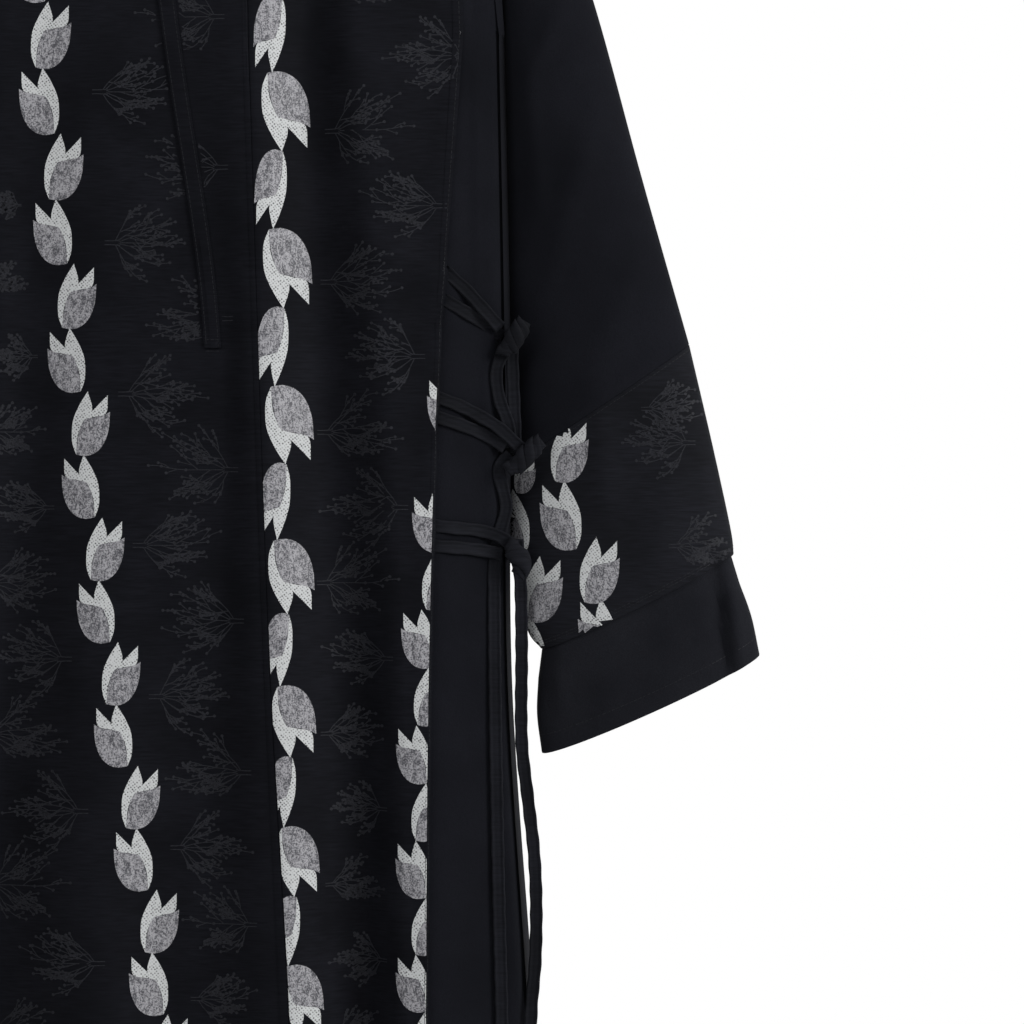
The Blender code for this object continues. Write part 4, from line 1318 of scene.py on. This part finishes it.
PLACKET_SIDES = [line_across(front, "placket_" + name) for name in ("left", "right")]


def clear_of_placket(x, drop):
    left, right = (side(drop) for side in PLACKET_SIDES)
    return drop > PLACKET_DROP + BELOW_PLACKET or not left - PLACKET_ROOM < x < right + PLACKET_ROOM


def figures():
    """The chains of tulips and the sprigs between them, on the overlay's front and back."""
    fronts = [sheet for name, sheet in body_cloths.items() if name.startswith("overlay") and "front" in name]
    for face, surface, facing, keep, tree in (
        ("front", front, -1, clear_of_placket, tree_of(*fronts)),
        ("back", back, 1, None, tree_of(body_cloths["overlay_back"])),
    ):
        for number, chain in enumerate((c for c in CHAINS if c.face == face), 1):
            jobs = [(TULIP_FIGURE, place) for place in chain_places(chain)]
            span = between(surface, chain.first, chain.last)
            woven(f"tulips_{face}_{number}", jobs, tree, facing, PETALS, span, keep)
        span = between(surface, "edge_left", "edge_right")
        woven("sprigs_" + face, sprigs_between(face), tree, facing, [SPRIG_THREAD], span, keep)


figures()

# A band's figures: tulips that point up as (across, drop) of the base, lean and size, and sprigs as
# (across, drop) of the root, heading and length, in mm
BAND_TULIPS = (
    (271, 577, 1, 0.78), (284, 619, -1, 0.86), (289, 652, 1, 0.82), (306, 689, -1, 0.80),
    (247, 584, 1, 0.45), (252, 623, -1, 0.84), (254, 664, 1, 0.82), (262, 700, -1, 0.80),
)
BAND_SPRIGS = (
    (324, 532, 1, 42), (358, 553, -1, 52), (341, 617, 1, 44),
)


def band_figures(side):
    """The tulips and sprigs on the front and the back of a sleeve's band."""
    name = SIDE_NAMES[side]
    tree = tree_of(sleeve_cloths[side]["sleeve_band_"])
    long = MM * TULIP_LONG
    tulips = [
        (TULIP_FIGURE, Place((side * MM * x, MM * drop), side * lean * size * long, -size * long))
        for x, drop, lean, size in BAND_TULIPS
    ]
    sprigs = []
    for k, (x, drop, heading, length) in enumerate(BAND_SPRIGS):
        place = Place((side * MM * x, MM * drop), side * heading * MM * length, MM * length)
        sprigs.append((SPRIG_FIGURES[k], place))
    for face, facing in (("front", -1), ("back", 1)):
        woven(f"band_tulips_{face}_{name}", tulips, tree, facing, PETALS)
        woven(f"band_sprigs_{face}_{name}", sprigs, tree, facing, [SPRIG_THREAD])


for side in (1, -1):
    band_figures(side)

# Stitching

STITCH = 0.0022
STITCH_GAP = 0.0008
STITCH_WIDTH = 0.0004
STITCH_RAISED = 0.00012
STITCH_START = 0.001
# How far the stitches are from an edge: in share of the cloth's last column beside the placket's
# and the overlay's edges, in drop above the lower edges, and in place in the table of cuts
PLACKET_ASIDE = 0.28
OVERLAY_ASIDE = 0.45
PLACKET_END = 0.004
PLACKET_BARS = (0.003, 0.010)
OVERLAY_HEM = 0.014
DRESS_HEM = 0.008
BAND_STITCHES = (2.55, 2.72, 0.045)
UNDER_SLEEVE_STITCHES = 1.52


def down_line(surface, by, name, aside, drop):
    """A line of a surface beside a named one, from its top to a drop, with its directions out."""
    k = surface.index[name]
    rows = (surface.points[:, k, 2] >= NECK_POINT_Z - drop).sum()
    points, outs = (
        grid[:rows, k] + abs(aside) * (grid[:rows, k + (1 if aside > 0 else -1)] - grid[:rows, k])
        for grid in (surface.points, surface.normals)
    )
    if name.startswith("edge"):
        by = by + edge_lift(points[:, 0] - surface.points[:rows, k, 0], points[:, 2])[:, None]
    return points + by * outs, outs


def level_line(surface, by, first, last, drop):
    """A line across a surface at a drop."""
    span = slice(surface.index[first], surface.index[last] + 1)
    drops = NECK_POINT_Z - surface.points[:, surface.index[first], 2]
    row = np.searchsorted(drops, drop)
    share = (drop - drops[row - 1]) / (drops[row] - drops[row - 1])
    points, outs = (
        grid[row - 1, span] + share * (grid[row, span] - grid[row - 1, span])
        for grid in (surface.points, surface.normals)
    )
    return points + by * outs, outs


def ring_line(cuts, at, side):
    """A line round a sleeve at a cut."""
    points = sleeve_ring(cuts, at, side)
    return points, unit(points - points.mean(axis=0))


def stitches(name, ways, slot_name):
    """Lines of stitches along ways over the cloth."""
    shapes = []
    for points, outs in ways:
        lengths = lengths_along(points, 0)
        starts = np.arange(STITCH_START, lengths[-1] - STITCH, STITCH + STITCH_GAP)
        at = np.stack((starts, starts + STITCH), axis=-1).ravel()
        spots, ups = (spots_along(grid, lengths, at) for grid in (points, outs))
        ahead = np.repeat(spots[1::2] - spots[::2], 2, axis=0)
        aside = unit(np.cross(ahead, ups)) * STITCH_WIDTH / 2
        middle = spots + STITCH_RAISED * ups
        shape = grid_of(np.stack((middle - aside, middle + aside), axis=1))
        between_them = [face for face in shape.faces if min(v.index for v in face.verts) % 4 == 2]
        bmesh.ops.delete(shape, geom=between_them, context="FACES")
        shape.normal_update()
        shape.faces.ensure_lookup_table()
        if shape.faces[0].normal.dot(Vector(ups[0])) < 0:
            bmesh.ops.reverse_faces(shape, faces=shape.faces)
        shapes.append(shape)
    piece(name, joined(shapes), [SEWING_THREAD], slot_name, smooth=False)


def sewing():
    """The placket's, the overlay's and the hems' stitches."""
    end = PLACKET_DROP - PLACKET_END
    ways = [
        down_line(front, PLACKET_FACE, "placket_left", PLACKET_ASIDE, end),
        down_line(front, PLACKET_FACE, "placket_right", -PLACKET_ASIDE, end),
    ]
    for up in PLACKET_BARS:
        ways.append(level_line(front, PLACKET_FACE, "placket_left", "placket_right", PLACKET_DROP - up))
    stitches("placket_stitches", ways, "figured_cloth")
    for name, surface in (("front", front), ("back", back)):
        hem = OVERLAY_LENGTH - OVERLAY_HEM
        ways = [
            down_line(surface, OVERLAY_FACE, "edge_left", OVERLAY_ASIDE, hem),
            down_line(surface, OVERLAY_FACE, "edge_right", -OVERLAY_ASIDE, hem),
            level_line(surface, OVERLAY_FACE, "edge_left", "edge_right", hem),
        ]
        stitches("overlay_stitches_" + name, ways, "figured_cloth")
        hem = level_line(surface, 0, "side_left", "side_right", LENGTH - DRESS_HEM)
        stitches("hem_stitches_" + name, [hem], "crepe")
    for side, name in SIDE_NAMES.items():
        ways = [ring_line(BAND_CUTS, at, side) for at in BAND_STITCHES]
        stitches("band_stitches_" + name, ways, "figured_cloth")
        hem = ring_line(UNDER_SLEEVE_CUTS, UNDER_SLEEVE_STITCHES, side)
        stitches("under_sleeve_stitches_" + name, [hem], "crepe")


sewing()

# Camera, light and floor

CAMERA_PLACE = (0.244, -2.225, -0.688)
CAMERA_LENS = 125
FLOOR_LEVEL = -1.62
FLOOR_RADIUS = 3.0
# A lamp: where it is, how it is turned in degrees, how wide it is, and its power in watts
Lamp = namedtuple("Lamp", "name place turn size power")
LAMPS = (
    Lamp("window", (2.7, -1.35, 0.5), (68, 0, 61), 1.3, 62),
    Lamp("fill", (-1.8, -2.6, 0.9), (58, 0, -36), 1.6, 15),
    Lamp("above", (0.1, -0.9, 0.45), (48, 0, 0), 0.5, 2.6),
)


def camera():
    """The photograph's view: level, square to the front, close to the dress's right half."""
    data = bpy.data.cameras.new("camera")
    data.lens = CAMERA_LENS
    data.sensor_width = 36
    data.clip_end = 50
    bpy.context.scene.camera = placed("camera", data, CAMERA_PLACE, (90, 0, 0))
    bpy.context.scene.view_settings.view_transform = "Standard"


def room():
    """A white wall behind the dress, and a dimmer room before it, which leaves its folds some depth."""
    world = bpy.data.worlds.new("white room")
    bpy.context.scene.world = world
    world.use_nodes = True
    tree = world.node_tree
    spot = add(tree, "ShaderNodeTexCoord").outputs["Generated"]
    way = add(tree, "ShaderNodeSeparateXYZ", {0: spot})
    tone = tone_between(tree, way.outputs["Y"], "66666A", "FFFFFF", -0.2, 0.6)
    tree.links.new(tone, tree.nodes["Background"].inputs["Color"])


def lamps():
    for lamp in LAMPS:
        data = bpy.data.lights.new(lamp.name, "AREA")
        data.shape = "SQUARE"
        data.size = lamp.size
        data.energy = lamp.power
        placed(lamp.name, data, lamp.place, lamp.turn)


def floor():
    """A pale floor below the hem, with faint clouds, three to a metre."""
    shape = bmesh.new()
    bmesh.ops.create_circle(shape, cap_ends=True, segments=96, radius=FLOOR_RADIUS)
    made = placed("floor", mesh_of("floor", shape), (0, 0, FLOOR_LEVEL))
    finish, tree, shader, place = begin("pale floor", Roughness=0.9)
    clouds = add(tree, "ShaderNodeTexNoise", {"Vector": place, "Scale": 3.0})
    cover(tree, shader, tone_between(tree, clouds.outputs["Fac"], "E6E6E4", "EEEEEC", 0.3, 0.7))
    made.data.materials.append(finish)


camera()
room()
lamps()
floor()

for made, size, area, carrier in CUTS:
    flat = (size[0], max(size[1], area / size[0]))
    sewn = SEWN_ON.get(made.name, [])
    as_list(sewn)
